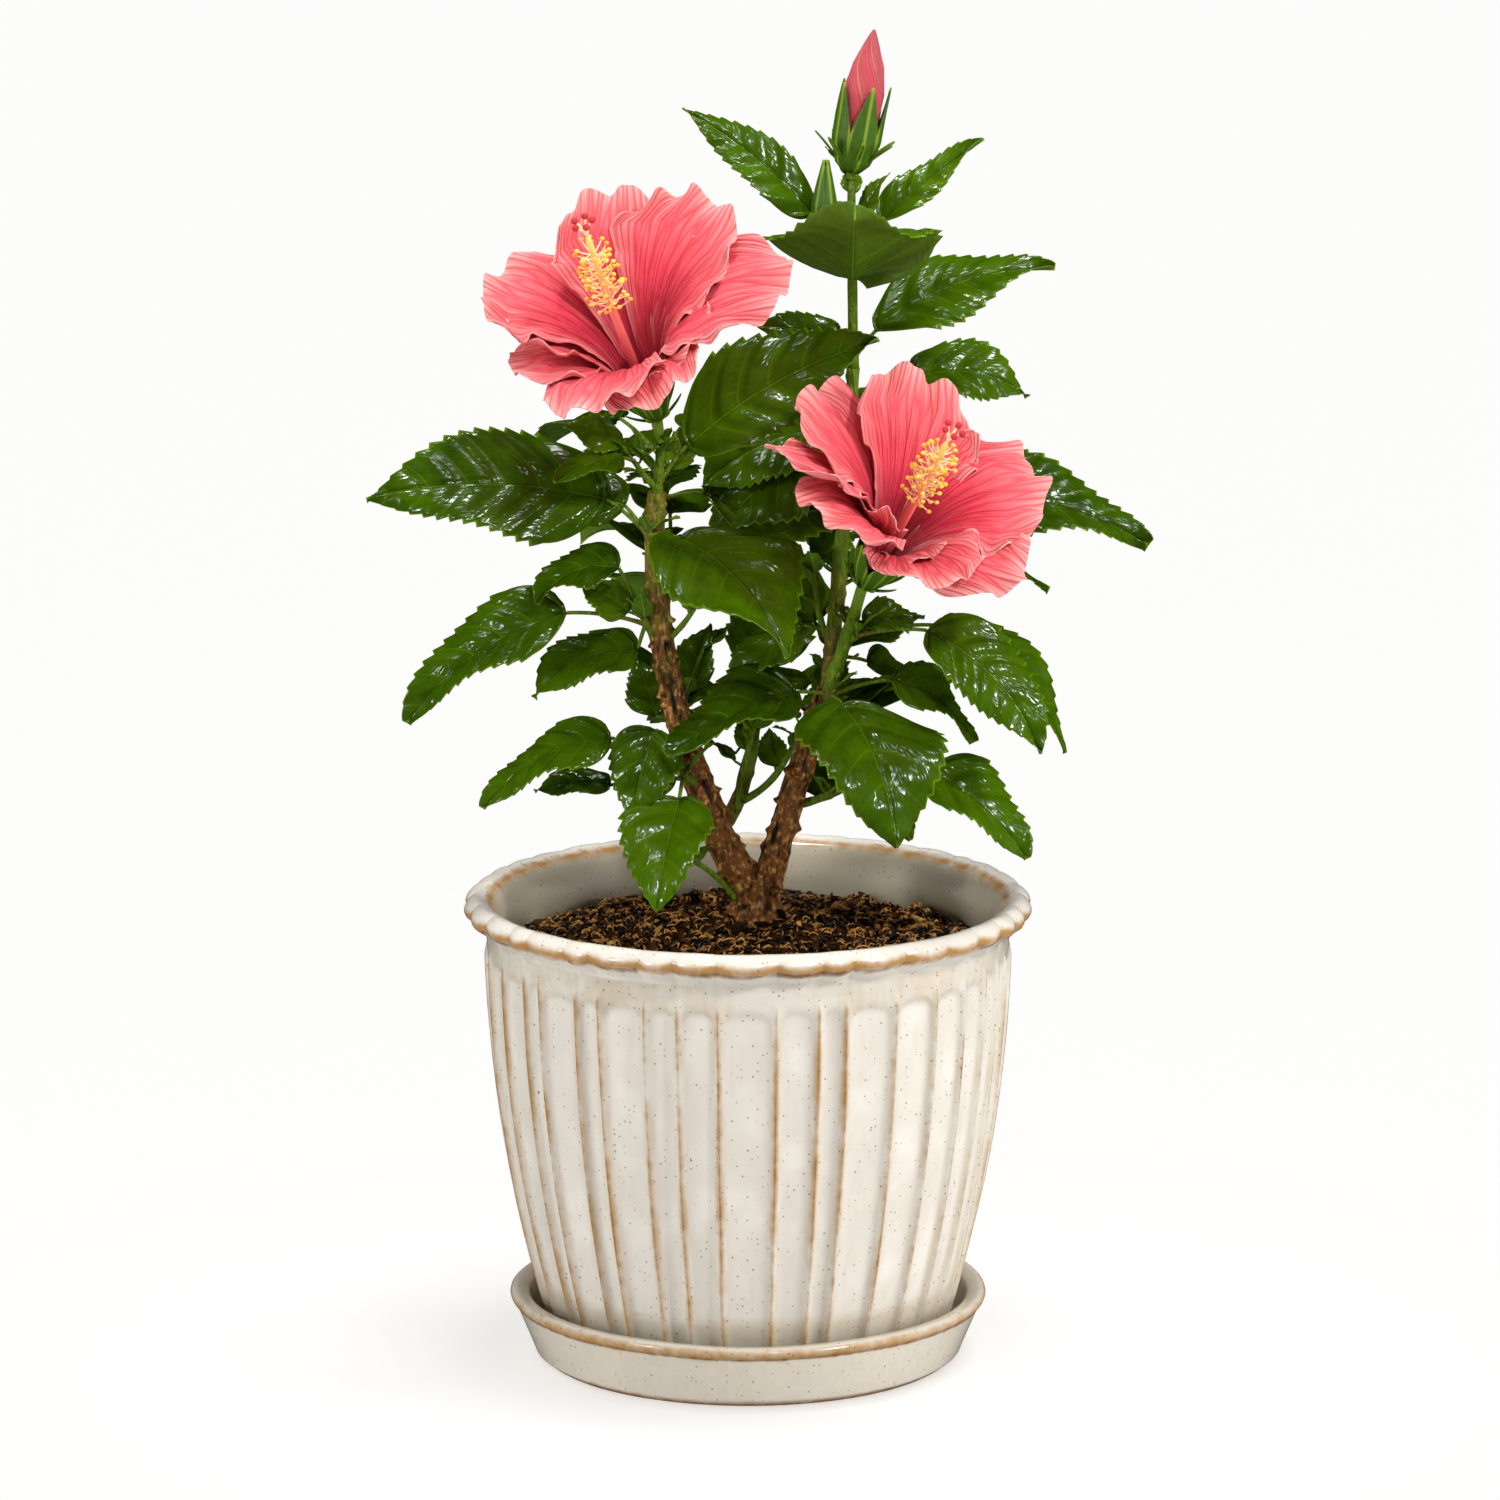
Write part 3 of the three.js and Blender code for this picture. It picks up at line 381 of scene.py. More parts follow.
# Each spray carries one mass: its name, the limb and the place along it, its reach, its radius at the foot
# and at the tip, and its leaves. At the back more leaves are dealt by seed: how many, their headings from
# and to, and their length.
sprayKeys = ("name", "limb", "along", "reach", "foot", "tip", "leaves", "fill")
fillKeys = ("seed", "count", "from", "to", "long")
filling = {"tries": 6, "limbRoom": 6, "leafRoom": 5, "spacing": 0.618, "slender": 0.62}
sprays = [
    ("leaves_low_left", "bough_left", 0.27, (-6, -10, 4), 2.6, 1.8,
     [(1, 257, 257, 9, -48, 53, 38, -28, 30, 0),
      (0.9, 232, 200, 23, 60, 36, 30, -50, 36, -20),
      (0.8, 184, 184, 33, 30, 58, 33, -2, 54, -22),
      (0.7, 172, 172, 30, -6, 30, 20, 6, 24, -22),
      (1, 195, 195, 3, 0, 19, 12, -5, 20, -40)]),
    ("leaves_mid_left", "bough_left", 0.6, (-8, -4, 14), 2.2, 1.6,
     [(0.85, 190, 190, 10, -72, 46, 32, 4, 56, -28),
      (0.8, 186, 182, 31, 9, 76, 38, -12, 44, -30),
      (1, 165, 165, 6, 20, 22, 20, 38, 20, -40),
      (1, 188, 170, 21, 64, 37, 28, 18, 82, -25)]),
    ("leaves_shoulder_left", "bough_left", 0.88, (-3, -6, 3), 2, 1.6,
     [(0.7, 183, 183, 22, 42, 92, 50, 15, 28, -48),
      (1, 312, 330, 14, 2, 74, 62, -6, 52, 12),
      (1, 160, 165, 14, 52, 42, 32, 20, 25, -34)]),
    ("leaves_crown_left", "bough_left", 1, (1.6, -2, 18), 2.3, 2,
     [(0.1, 350, 350, 20, 55, 86, 46, 44, 28, 48),
      (0.35, 195, 195, 20, 46, 24, 18, 22, 15, -40),
      (0.4, 215, 215, 4, 40, 19, 13, 65, 10, -20),
      (0.35, 20, 20, 5, 30, 22, 16, 60, 20, 30)]),
    ("leaves_inner_left", "bough_left", 0.45, (3, 5, 4), 1.9, 1.5,
     [(1, 55, 55, 4, 40, 28, 20, 68, 15, 0),
      (1, 30, 30, 20, 65, 16, 10, 40, 10, 0)]),
    ("leaves_middle", "bough_middle", 1, (3, 4, 12), 1.9, 1.4,
     [(1, 80, 80, 15, 55, 38, 36, 62, 15, 0),
      (0.2, 200, 200, 12, -45, 13, 10, 30, 10, 0)]),
    ("leaves_low_right", "bough_right", 0.42, (17, -3, 6), 2, 1.6,
     [(1, 345, 345, 38, 15, 51, 36, -18, 40, 25),
      (0.8, 330, 330, 15, 35, 34, 24, -20, 40, 20),
      (0.55, 60, 60, 3, 20, 20, 18, 50, 20, 0)]),
    ("leaves_mid_right", "bough_right", 0.96, (2, -8, 3), 2.4, 2,
     [(1, 296, 296, 9, -8, 70, 60, -15, 58, -6),
      (1, 203, 190, 13, 8, 58, 42, -8, 26, -20),
      (0.9, 5, 5, 24, 14, 42, 30, -12, 52, 25)]),
    ("leaves_right_node", "leader", 0.06, (3, 7, 4), 2, 1.6,
     [(0.9, 15, 15, 12, -10, 30, 24, -15, 30, 20),
      (1, 168, 150, 16, 50, 42, 36, 62, 20, -30)]),
    ("leaves_shoulder_right", "shoot_right", 0.5, (4, -3, 2), 2, 1.7,
     [(1, 338, 352, 27, 6, 66, 34, -18, 52, 30),
      (0.9, 356, 4, 31, 7, 72, 38, -20, 48, 30),
      (0.5, 12, 12, 7, 50, 24, 20, 12, 20, 35)]),
    ("leaves_behind_bloom", "leader", 0.55, (2, 4, 5), 1.8, 1.5,
     [(1, 358, 358, 42, 0, 76, 46, 4, 36, 32),
      (0.6, 190, 184, 24, 56, 52, 44, -26, 30, -50)]),
    ("leaves_leader_right", "leader", 0.8, (3, 4, 5), 1.8, 1.5,
     [(1, 8, 8, 25, 34, 48, 32, 20, 60, 35)]),
    ("leaves_top", "leader", 1, (-1, -4, 72), 2.4, 1.6,
     [(0.04, 2, 2, 14, 53, 74, 40, 42, 46, 25),
      (0.16, 172, 172, 5, 0, 32, 18, 14, 15, -40),
      (0.45, 270, 270, 3, 40, 72, 70, 40, 25, 0),
      (0.7, 176, 176, 17, 30, 64, 23, 49, 20, -45),
      (0.66, 5, 5, 14, 40, 50, 20, 42, 8, 40),
      (0.75, 350, 350, 3, 50, 23, 12, 62, 10, 40)]),
    ("leaves_back_low_left", "bough_left", 0.38, (-4, 18, 10), 2, 1.5,
     [(0.4, 120, 180, 10, 20, 25, 20, 62, 20, 0)], (11, 4, 60, 120, 54)),
    ("leaves_back_left", "bough_left", 0.66, (4, 28, 16), 2.2, 1.5,
     [], (23, 6, 66, 112, 60)),
    ("leaves_back_crown", "bough_left", 0.93, (3, 26, 18), 2, 1.5,
     [(0.35, 12, 12, 18, 6, 74, 50, 4, 26, 55)], (31, 5, 55, 140, 58)),
    ("leaves_back_low_right", "bough_right", 0.7, (4, 20, 8), 2, 1.5,
     [], (47, 5, 20, 100, 58)),
    ("leaves_back_right", "leader", 0.25, (4, 26, 12), 2.2, 1.5,
     [], (53, 6, 20, 110, 62)),
    ("leaves_back_leader", "leader", 0.66, (-3, 24, 16), 2, 1.5,
     [], (71, 5, 35, 145, 58)),
]
# Sprouts are finer shoots between the boughs, each with the mass it belongs to
sproutKeys = ("name", "start", "reach", "bow", "foot", "tip", "leaves")
sprouts = [
    ("leaves_low_left", (-4.5, -4, 180), (-17, -5, 16), (0, 0, 2), 1.4, 0.9,
     [(1, 205, 205, 4, 20, 22, 14, 5, 20, -20)]),
    ("leaves_middle", (-4, 3, 213), (6, 3, 28), (-1.5, 0, 0), 1.7, 1.1,
     [(1, 70, 70, 4, 50, 22, 15, 45, 20, 0), (0.6, 160, 160, 4, 30, 14, 9, 40, 10, 0)]),
    ("leaves_middle", (-2, 4, 217), (22, 4, 28), (2, 0, -4), 1.7, 1.1,
     [(1, 45, 45, 6, 40, 26, 18, 40, 25, 0), (0.5, 100, 100, 4, 30, 18, 12, 50, 10, 0)]),
    ("leaves_mid_right", (25, 0, 246), (7, 6, 24), (2, 0, 0), 1.6, 1.1,
     [(1, 40, 40, 8, 40, 34, 24, 20, 30, 10), (0.5, 80, 80, 4, 30, 20, 14, 40, 10, 0)]),
    ("leaves_right_node", (32, 0, 276), (-6, 8, 30), (-2, 0, 0), 1.6, 1.2,
     [(0.25, 190, 190, 8, 15, 38, 28, -25, 35, -30), (0.55, 160, 160, 10, 30, 44, 32, 6, 30, -35),
      (1, 185, 185, 8, 30, 36, 27, 15, 35, -30), (1, 60, 60, 5, 50, 20, 14, 60, 10, 0)]),
    ("leaves_behind_bloom", (38, 7, 340), (-8, 5, 18), (0, 0, 0), 1.5, 1.1,
     [(1, 188, 188, 8, 10, 46, 36, -10, 34, -35), (0.4, 175, 175, 8, 10, 38, 30, -30, 20, -30)]),
    ("leaves_crown_left", (-34, -6, 340), (-9, -8, 12), (0, 0, -1), 1.4, 1,
     [(1, 205, 205, 5, 20, 30, 20, 5, 40, -25), (0.6, 250, 250, 4, 20, 17, 11, 20, 20, 0)]),
    ("leaves_mid_left", (-29, -5, 283), (9, -3, 12), (0, 0, -1), 1.4, 1,
     [(1, 350, 350, 5, 40, 24, 16, 30, 30, 20), (0.8, 20, 20, 4, 50, 16, 10, 50, 10, 0)]),
]
# Young leaves dealt round the tip of every spray
young = {"count": 3, "long": (7, 15), "slender": 0.6, "stalk": (2, 3), "lift": 50, "pitch": (35, 30), "bend": 25,
         "apart": 0.12}
# How yellow the leaves are: dark old ones, those at the back, small ones and young ones
leafTone = {"front": 0.38, "back": 0.3, "small": 0.25, "smallUnder": 26, "young": 0.8, "spread": 0.4}


def towards(heading, pitch):
    h, p = np.radians(heading), np.radians(pitch)
    return spread(np.cos(h) * np.cos(p), np.sin(h) * np.cos(p), np.sin(p))


def dice(seed):
    state = seed

    def roll():
        nonlocal state
        state = state * 16807 % 2147483647
        return state / 2147483647
    return roll


def leafFoot(stem, leaf):
    node = onLimb(stem, leaf["at"])
    return node, node + towards(leaf["stalkTo"], leaf["lift"]) * leaf["stalk"]


def halfWidth(leaf, t):
    return np.sqrt(t) * (1 - t) ** blade["blunt"] / blade["peak"] * leaf["wide"] / 2


def ribOf(leaf, base, t):
    # the midrib at shares t of the blade, and the way across it and up from it there
    fine = np.linspace(0, 1, 65)
    steps = towards(leaf["to"], leaf["pitch"] - leaf["bend"] * (fine[1:] + fine[:-1]) / 2) * leaf["long"] / 64
    line = base + np.concatenate([[[0, 0, 0]], np.cumsum(steps, axis=0)])
    rib = np.stack([np.interp(t, fine, line[:, k]) for k in range(3)], -1)
    pitch = leaf["pitch"] - leaf["bend"] * t
    above = towards(leaf["to"], pitch + 90)
    beside = np.cross(towards(leaf["to"], pitch), above)
    roll = np.radians(leaf["roll"] + leaf.get("twist", 0) * t)[..., None]
    return rib, beside * np.cos(roll) - above * np.sin(roll), above * np.cos(roll) + beside * np.sin(roll)


def bladeMarks(stem, leaf):
    rows = blade["fewRows"] if leaf["long"] < blade["small"] else blade["rows"]
    t = np.array(rows[1:])
    rib, side, normal = ribOf(leaf, leafFoot(stem, leaf)[1], t)
    half = np.maximum(blade["least"], halfWidth(leaf, t))[:, None]
    fold = math.radians(blade["fold"])
    lift, out = normal * half * math.sin(fold), side * half * math.cos(fold)
    return np.concatenate([rib + lift + out, rib, rib + lift - out])


def isClear(marks, others, distance):
    return np.linalg.norm(marks[:, None] - others[None], axis=2).min() > distance


def fillLeaves(fill, stem, limbMarks, taken):
    # leaves dealt round a spray by its seed; one that comes near a limb or a leaf is dealt again
    chance = dice(fill["seed"])
    grown = []
    for k in range(fill["count"]):
        share = (0.5 + k * filling["spacing"]) % 1
        for _ in range(filling["tries"]):
            size = fill["long"] * (0.8 + 0.3 * chance())
            leaf = {"at": 0.25 + 0.75 * (k + 1) / fill["count"],
                    "to": fill["from"] + (fill["to"] - fill["from"]) * share + 24 * (chance() - 0.5),
                    "stalk": 12 + 16 * chance(), "lift": 50 * chance(), "long": size,
                    "wide": size * filling["slender"], "pitch": 24 - 34 * chance(), "bend": 30 + 26 * chance(),
                    "roll": 40 * (chance() - 0.5)}
            leaf["stalkTo"] = leaf["to"]
            marks = bladeMarks(stem, leaf)
            if isClear(marks, limbMarks, filling["limbRoom"]) and isClear(marks, taken[0], filling["leafRoom"]):
                grown.append(leaf)
                taken[0] = np.concatenate([taken[0], marks])
                break
    return grown


def edgeRows(teeth):
    # rows from midrib to edge: their place on the edge, how far they stand out, and their vein number
    start = blade["smoothShare"]
    places, heights = list(np.linspace(0, start, 9)[:-1]), [0.0] * 8

    def onEdge(k):
        return start + (1 - start) * (k / teeth) ** blade["crowding"]

    for k in range(teeth):
        for share, height in blade["tooth"]:
            places.append(onEdge(k) + (onEdge(k + 1) - onEdge(k)) * share)
            heights.append(height)
    places.append(1.0)
    heights.append(0.0)
    # a side vein runs out to every other tooth's tip
    knots = [0, start * 0.55] + [onEdge(k + 0.92) for k in range(1, teeth, 2)] + [1.02]
    return np.array(places), np.array(heights), np.interp(places, knots, np.arange(len(knots)))


def leafChunk(stem, leaf, chance, tone):
    long, wide = leaf["long"], leaf["wide"]
    twists = long > blade["twistFrom"]
    leaf = {**leaf, "twist": blade["twist"] * (2 * chance.rand() - 1) if twists else 0}
    edge, tooth, vein = edgeRows(int(blade["teeth"] + long / blade["toothEvery"]))
    edge = np.clip(edge, 0.004, 0.9995)
    half = halfWidth(leaf, edge)
    fade = np.clip(half / (wide / 2) * 1.6, 0, 1)
    half = half * (1 - 0.03 * fade) + tooth * fade * min(blade["toothDepth"] * wide / 2, blade["deepest"])
    half = np.maximum(half, 0.35 * (1 - edge) + 0.12)
    middle = np.maximum(0.1 * edge, edge - blade["fan"] * half / long)
    middle[-1] = edge[-1] - 0.002
    c = np.linspace(-1, 1, 2 * blade["columns"] + 1)
    a = np.abs(c)[None, :]
    t = middle[:, None] + (edge - middle)[:, None] * a ** 1.3
    rib, side, normal = ribOf(leaf, leafFoot(stem, leaf)[1], t)
    x = half[:, None] * c[None, :]
    phase = chance.rand(4) * 6.28
    lean = 1 - 0.05 * np.sin(phase[0]) * np.where(c < 0, -1, 1)
    fold = math.radians(blade["fold"] + 5 * np.sin(phase[1]))
    size = long / 60
    quilt = blade["quilt"] * size * np.sin(np.pi * vein)[:, None] ** 2 * np.sqrt(4 * a * (1 - a))
    lift = np.abs(x) * math.sin(fold) - blade["droop"] * x ** 2 / (wide / 2) + quilt * np.clip(1.25 - t, 0, 1)
    wave = np.where(c < 0, np.sin(9 * t + phase[2]), np.sin(8 * t + phase[3]))
    lift = lift + blade["wave"] * wide / 2 * wave * a ** 2 + 0.25 * tooth[:, None] * a ** 4
    lift -= blade["groove"] * size * bell(x, 0.8)
    points = rib + side * (x * math.cos(fold) * lean)[..., None] + normal * lift[..., None]
    shade = np.clip(tone + leafTone["spread"] * (chance.rand() - 0.5), 0, 1)
    thick = blade["thick"] * (1 - 0.5 * np.broadcast_to(a, t.shape)) * min(1, 0.5 + size / 2)
    return sheet(points, thick, rib=x, vein=vein[:, None], across=c, shade=shade)


def stalkChunk(stem, leaf):
    node, base = leafFoot(stem, leaf)
    t = np.linspace(0, 1, 12)
    centres = node + (base - node) * t[:, None]
    centres[:, 2] += 0.2 * leaf["stalk"] * t * (1 - t)
    radii = blade["stalk"] * min(1, 0.45 + leaf["long"] / 60) * (1 + 0.35 * bell(t, 0.1) - 0.2 * t)
    return tube(centres, radii, 8, green=1.0, red=0.5 * bell(t, 0.3))


def stemChunk(stem):
    t = np.linspace(0, 1, 24)
    radii = stem["foot"] + (stem["tip"] - stem["foot"]) * t
    radii = radii * (1 - 0.1 * np.abs(np.sin(7 * t))) * np.where(t > 0.97, 0.7, 1)
    return tube(onLimb(stem, t), radii, 10, green=0.8 + 0.3 * t, red=0.0)


# Blooms: each petal is bearing, long, wide, flare, wave; the collar's small petals are the same

petal = {"thick": 0.45, "rows": 64, "columns": 60, "claw": 0.34, "clawAngle": 15, "clawWidth": 11,
         # the outer end: how far the corners stay back, and where and how much the petal narrows
         "round": 0.6, "narrowing": 0.28, "fullness": 1.12, "bays": 0.013,
         # the surface: heights, then lengths along the rim and depths in from it
         "curl": 1.4, "curlDeep": 9, "ruffle": 2.6, "ruffleLong": 15, "ruffleDeep": 8, "crinkle": 0.6,
         "crinkleLong": 6.5, "crinkleDeep": 3.6, "swell": 1.8, "swellCell": 26, "pleat": 0.34, "pleats": 24}
column = {"radius": 2.1, "low": 0.6, "high": 0.92, "filaments": 84, "reach": 9.6, "styles": 5, "styleLong": 9,
          "anther": 1.0, "stigma": 1.35}
calyx = {"long": 25, "cut": 13, "lobes": 5, "bracts": 8, "bractLong": 13}
blooms = {
    "bloom_left": {
        "base": (-34.4, -9.5, 368), "axis": (-0.26, -0.5, 0.83), "stalk": (-32.9, -7, 356.9), "column": 93,
        "petals": [(24, 100, 58, 98, 0.2), (62, 92, 72, 72, 1.7), (108, 92, 70, 72, 3.1), (167, 90, 80, 91, 4.4),
                   (212, 70, 60, 86, 5.2), (274, 77, 66, 91, 0.9), (314, 72, 58, 86, 2.4)],
        "collar": [(190, 72, 48, 70, 2.0), (300, 47, 50, 54, 0.4), (350, 66, 60, 64, 3.3)]},
    "bloom_right": {
        "base": (44.2, -20.4, 305.6), "axis": (0.355, -0.532, 0.767), "stalk": (43.4, -19.8, 304.5), "column": 83,
        "petals": [(358, 87, 66, 92, 0.6), (65, 85, 74, 74, 1.9), (122, 91, 80, 76, 2.7), (160, 96, 30, 92, 4.1),
                   (182, 80, 62, 79, 5), (262, 63, 66, 80, 0.1), (314, 75, 62, 96, 1.2)],
        "collar": [(184, 60, 38, 32, 1.1), (250, 46, 46, 50, 4.2)]},
}
bud = {"base": (38.8, 6, 459.5), "axis": (0.16, 0, 0.987), "long": 54.5, "radius": 7.9, "bracts": 7, "lobes": 5,
       "turns": 0.55}
sideBud = {"spray": "leaves_top", "at": 0.6, "foot": (-11, -3, 8), "tip": (-10, -3, 37), "radius": 4.6,
           "lobes": 5}


def frameOf(base, axis):
    ahead = unit(np.array(axis, float))
    right = unit(np.cross([0, 0, 1], ahead))
    return np.array(base, float), ahead, right, np.cross(ahead, right)


def inFrame(place, radius, bearing, height):
    base, ahead, right, up = place
    radius, bearing, height = (v[..., None] for v in np.broadcast_arrays(radius, bearing, height))
    return base + radius * np.cos(bearing) * right + radius * np.sin(bearing) * up + height * ahead


def petalChunk(place, sizes, seed):
    bearing, long, wide, flare, wave = sizes
    # along the middle, the petal leans out from its claw: how far out and how high each row stands
    rank = 0.998 * (1 - (1 - np.linspace(0, 1, petal["rows"])) ** 1.4)
    step = np.diff(rank)
    opening = smooth((rank[1:] + rank[:-1]) / 2, petal["claw"] * 0.5, 1)
    lean = np.radians(petal["clawAngle"] + (flare - petal["clawAngle"]) * opening)
    radius = 2 + np.concatenate([[0], np.cumsum(np.sin(lean) * step)]) * long
    height = np.concatenate([[0], np.cumsum(np.cos(lean) * step)]) * long
    q = np.linspace(-1, 1, petal["columns"])[None, :]
    # the outer end is a broad curve: the middle reaches furthest, the corners stay back
    row = rank[:, None]
    s = row * (1 - 0.05 * q ** 2 - 0.1 * q ** 4)
    radius, height = np.interp(s, rank, radius), np.interp(s, rank, height)
    widening = smooth(s, petal["claw"] * 0.6, 0.74)
    half = (petal["clawWidth"] + (petal["fullness"] * wide - petal["clawWidth"]) * widening) / 2
    half = half * (1 - petal["narrowing"] * smooth(row, petal["round"], 1.1) ** 1.2)
    turn = q * half / np.maximum(radius, half * 1.1)
    # distance in from the rim, and the way along it, which the ruffles follow
    inward = np.minimum(half * (1 - np.abs(q)), (1 - row) * long)
    along = np.arctan2(q * half, (s - 0.45) * long) * long / 2
    spot = spread(s * long, q * half, seed * 40.0)
    outer = smooth(s, 0.38, 0.82)
    sway = noise(spot, petal["swellCell"], seed + 7)
    lift = 6 * q * s - 2 * s * q * q + 3.0 * (seed % 2) * s
    curl = math.cos(2.3 * wave + seed)
    ruffle = np.sin(2 * np.pi * along / petal["ruffleLong"] + 3 * wave + 2.4 * sway)
    crinkle = np.sin(2 * np.pi * along / petal["crinkleLong"] + 5 * sway)
    for name, shape in (("curl", curl), ("ruffle", ruffle), ("crinkle", crinkle)):
        lift = lift + petal[name] * outer * np.exp(-inward / petal[name + "Deep"]) * shape
    lift = lift + petal["swell"] * smooth(s, 0.2, 0.8) * noise(spot, petal["swellCell"], seed + 3)
    pleat = np.cos(petal["pleats"] * q + 1.5 * noise(spot, 20, seed + 5))
    lift = lift + petal["pleat"] * smooth(s, 0.1, 0.4) * pleat
    rim = np.exp(-inward / 4.5) * smooth(s, 0.2, 0.5)
    reach = radius * (1 - 0.1 * s * q * q) + 0.8 * s ** 3 * np.sin(5 * q + 2 * wave)
    reach = reach + 0.8 * rim * noise(spot, 6, seed + 9)
    # shallow bays along the outer edge
    bays = np.sin(10.5 * q + 2.6 * wave) + 0.6 * np.sin(19 * q + 4 * wave)
    bays = 1 + petal["bays"] * smooth(row, 0.7, 1) * bays
    points = inFrame(place, reach * bays, math.radians(bearing) + turn, height * bays + lift)
    return sheet(points, petal["thick"], s=s, q=q, rim=rim)


def columnChunks(place, long, chance):
    # the fused stamens' column, its filaments with an anther each, and the style's branches
    t = np.linspace(0, 1, 40)
    radii = column["radius"] * (1 - 0.45 * t) * np.where(t > 0.985, 0.6, 1)
    centres = inFrame(place, 2.2 * np.sin(2.4 * t), 4.4, 2 + (long - 2) * t)
    stem = [tube(centres, radii, 14, tint=t, thread=0.0)]
    anthers, stigmas = [], []
    for k in range(column["filaments"]):
        share = column["low"] + (column["high"] - column["low"]) * ((k + 0.5) / column["filaments"])
        root = np.array([np.interp(share, t, centres[:, i]) for i in range(3)])
        out = inFrame(place, 1.0, k * golden + 0.4 * chance.rand(), 0) - place[0]
        reach = column["reach"] * (0.62 + 0.4 * chance.rand()) * (1 - 0.25 * share)
        rise = 0.5 + 5 * chance.rand()
        v = np.linspace(0, 1, 5)[:, None]
        path = root + out * reach * v + place[1] * rise * v ** 1.6
        stem.append(tube(path, np.linspace(0.34, 0.22, 5), 5, tint=0.9, thread=1.0))
        anthers.append(ball(path[-1], column["anther"], (1, 0.75 + 0.3 * chance.rand(), 0.8), 5, 7,
                            shade=chance.rand()))
    for k in range(column["styles"]):
        out = inFrame(place, 1.0, k * 2 * math.pi / column["styles"] + 0.5, 0) - place[0]
        v = np.linspace(0, 1, 7)[:, None]
        path = centres[-1] + out * 3.6 * v ** 1.3 + place[1] * column["styleLong"] * v * (1 - 0.25 * v)
        stem.append(tube(path, np.linspace(0.5, 0.4, 7), 6, tint=1.0, thread=1.0))
        stigmas.append(ball(path[-1], column["stigma"], rows=7, sides=10, shade=0.5))
    return stem, anthers, stigmas


def lobeRing(place, count, first, out, wide, rise, w, look, dip=0):
    # lobes set in a ring: out, wide and rise are each one's distance, half width and height along it, w is
    # the share across it, dip bends its edges in, and look is its thickness, how close its ribs are and shade
    thick, ribs, shade = look
    turns = [k * 2 * math.pi / count + first for k in range(count)]
    return [sheet(inFrame(place, out - dip, turn + w * wide / out, rise), thick, rib=w * wide * ribs,
                  shade=shade)
            for turn in turns]


def greenStalk(foot, tip, radii, sides, shade):
    path = foot + (tip - foot) * np.linspace(0, 1, 9)[:, None]
    return tube(path, np.linspace(*radii, 9), sides, rib=3.0, shade=shade)


def calyxChunks(place):
    # a cup that ends in pointed lobes, with a ring of narrow bracts under it
    s = np.linspace(0, 1, 26)[:, None]
    bearing = np.linspace(0, 2 * np.pi, 61)[None, :]
    lobe = np.abs(((bearing * calyx["lobes"] / (2 * np.pi)) % 1) - 0.5) * 2
    height = s * (calyx["cut"] + (calyx["long"] - calyx["cut"]) * (1 - lobe) ** 0.8)
    radius = 2.4 + 6.0 * np.sin(np.clip(height / 15, 0, 1) * 1.57) ** 0.8 + 0.22 * np.clip(height - 10, 0, 20)
    radius = radius + 0.25 * np.cos(10 * bearing) * smooth(height, 1, 8)
    v, w = strip(10, 5)
    wide = 1.3 * np.sqrt(np.clip(1.02 - v, 0, 1)) * (0.6 + v)
    out = 2.6 + calyx["bractLong"] * 0.75 * v
    rise = 0.5 + calyx["bractLong"] * (0.5 * v + 0.25 * v * v)
    cup = sheet(inFrame(place, radius, bearing, height), 0.6, rib=lobe * 4, shade=0.55)
    return [cup] + lobeRing(place, calyx["bracts"], 0.3, out, wide, rise - 0.3 * w * w, w, (0.5, 1, 0.7))


def budChunks():
    # the furled petals, wound round each other, in their sepals and bracts
    place = frameOf(bud["base"], bud["axis"])
    rows, columns = 60, 64
    s = np.linspace(0, 1, rows)
    shape = np.interp(s, [0, 0.05, 0.18, 0.4, 0.56, 0.75, 0.9, 0.97, 1],
                      [0.3, 0.7, 0.98, 0.93, 0.98, 0.74, 0.36, 0.16, 0.05])
    bearing = turnsOf(columns)[None, :]
    wound = bearing + bud["turns"] * 2 * np.pi * s[:, None]
    fold = (wound * 5 / (2 * np.pi)) % 1
    seam = 1 - 0.12 * smooth(fold, 0.8, 1) + 0.05 * fold
    radius = bud["radius"] * shape[:, None] * (1 + (seam - 1) * smooth(s, 0.2, 0.45)[:, None])
    points = inFrame(place, radius, bearing, (s * bud["long"])[:, None])
    body = chunk(points, closedRings(rows, columns), s=np.repeat(0.55 + 0.4 * s, columns), q=2 * fold - 1,
                 rim=smooth(fold, 0.85, 1))
    v, w = strip(22, 9)
    girth = np.interp(v, [0, 0.1, 0.35, 0.7, 1], [0.32, 0.75, 1.08, 1.1, 1.16]) * bud["radius"] + 0.7
    wide = np.minimum(girth * 0.66, 9) * np.interp(v, [0, 0.4, 0.62, 0.85, 1], [1, 1, 0.72, 0.3, 0.04])
    green = lobeRing(place, bud["lobes"], -1.57, girth, wide, v * bud["long"] * 0.62, w, (0.7, 0.6, 0.4),
                     0.25 * w * w)
    v, w = strip(14, 5)
    out = np.interp(v, [0, 0.3, 1], [2.5, bud["radius"] * 0.95, 2 * bud["radius"]])
    wide = 1.5 * np.sqrt(np.clip(1.01 - v, 0, 1)) * (0.7 + v)
    rise = bud["long"] * (0.02 + 0.22 * v ** 0.8)
    green += lobeRing(place, bud["bracts"], -1.2, out, wide, rise, w, (0.6, 1, 0.5))
    foot = inFrame(place, 0, 0, np.linspace(-3, 3, 7))
    return [body], green + [tube(foot, np.linspace(1.6, 2.6, 7), 12, rib=3.0, shade=0.7)]


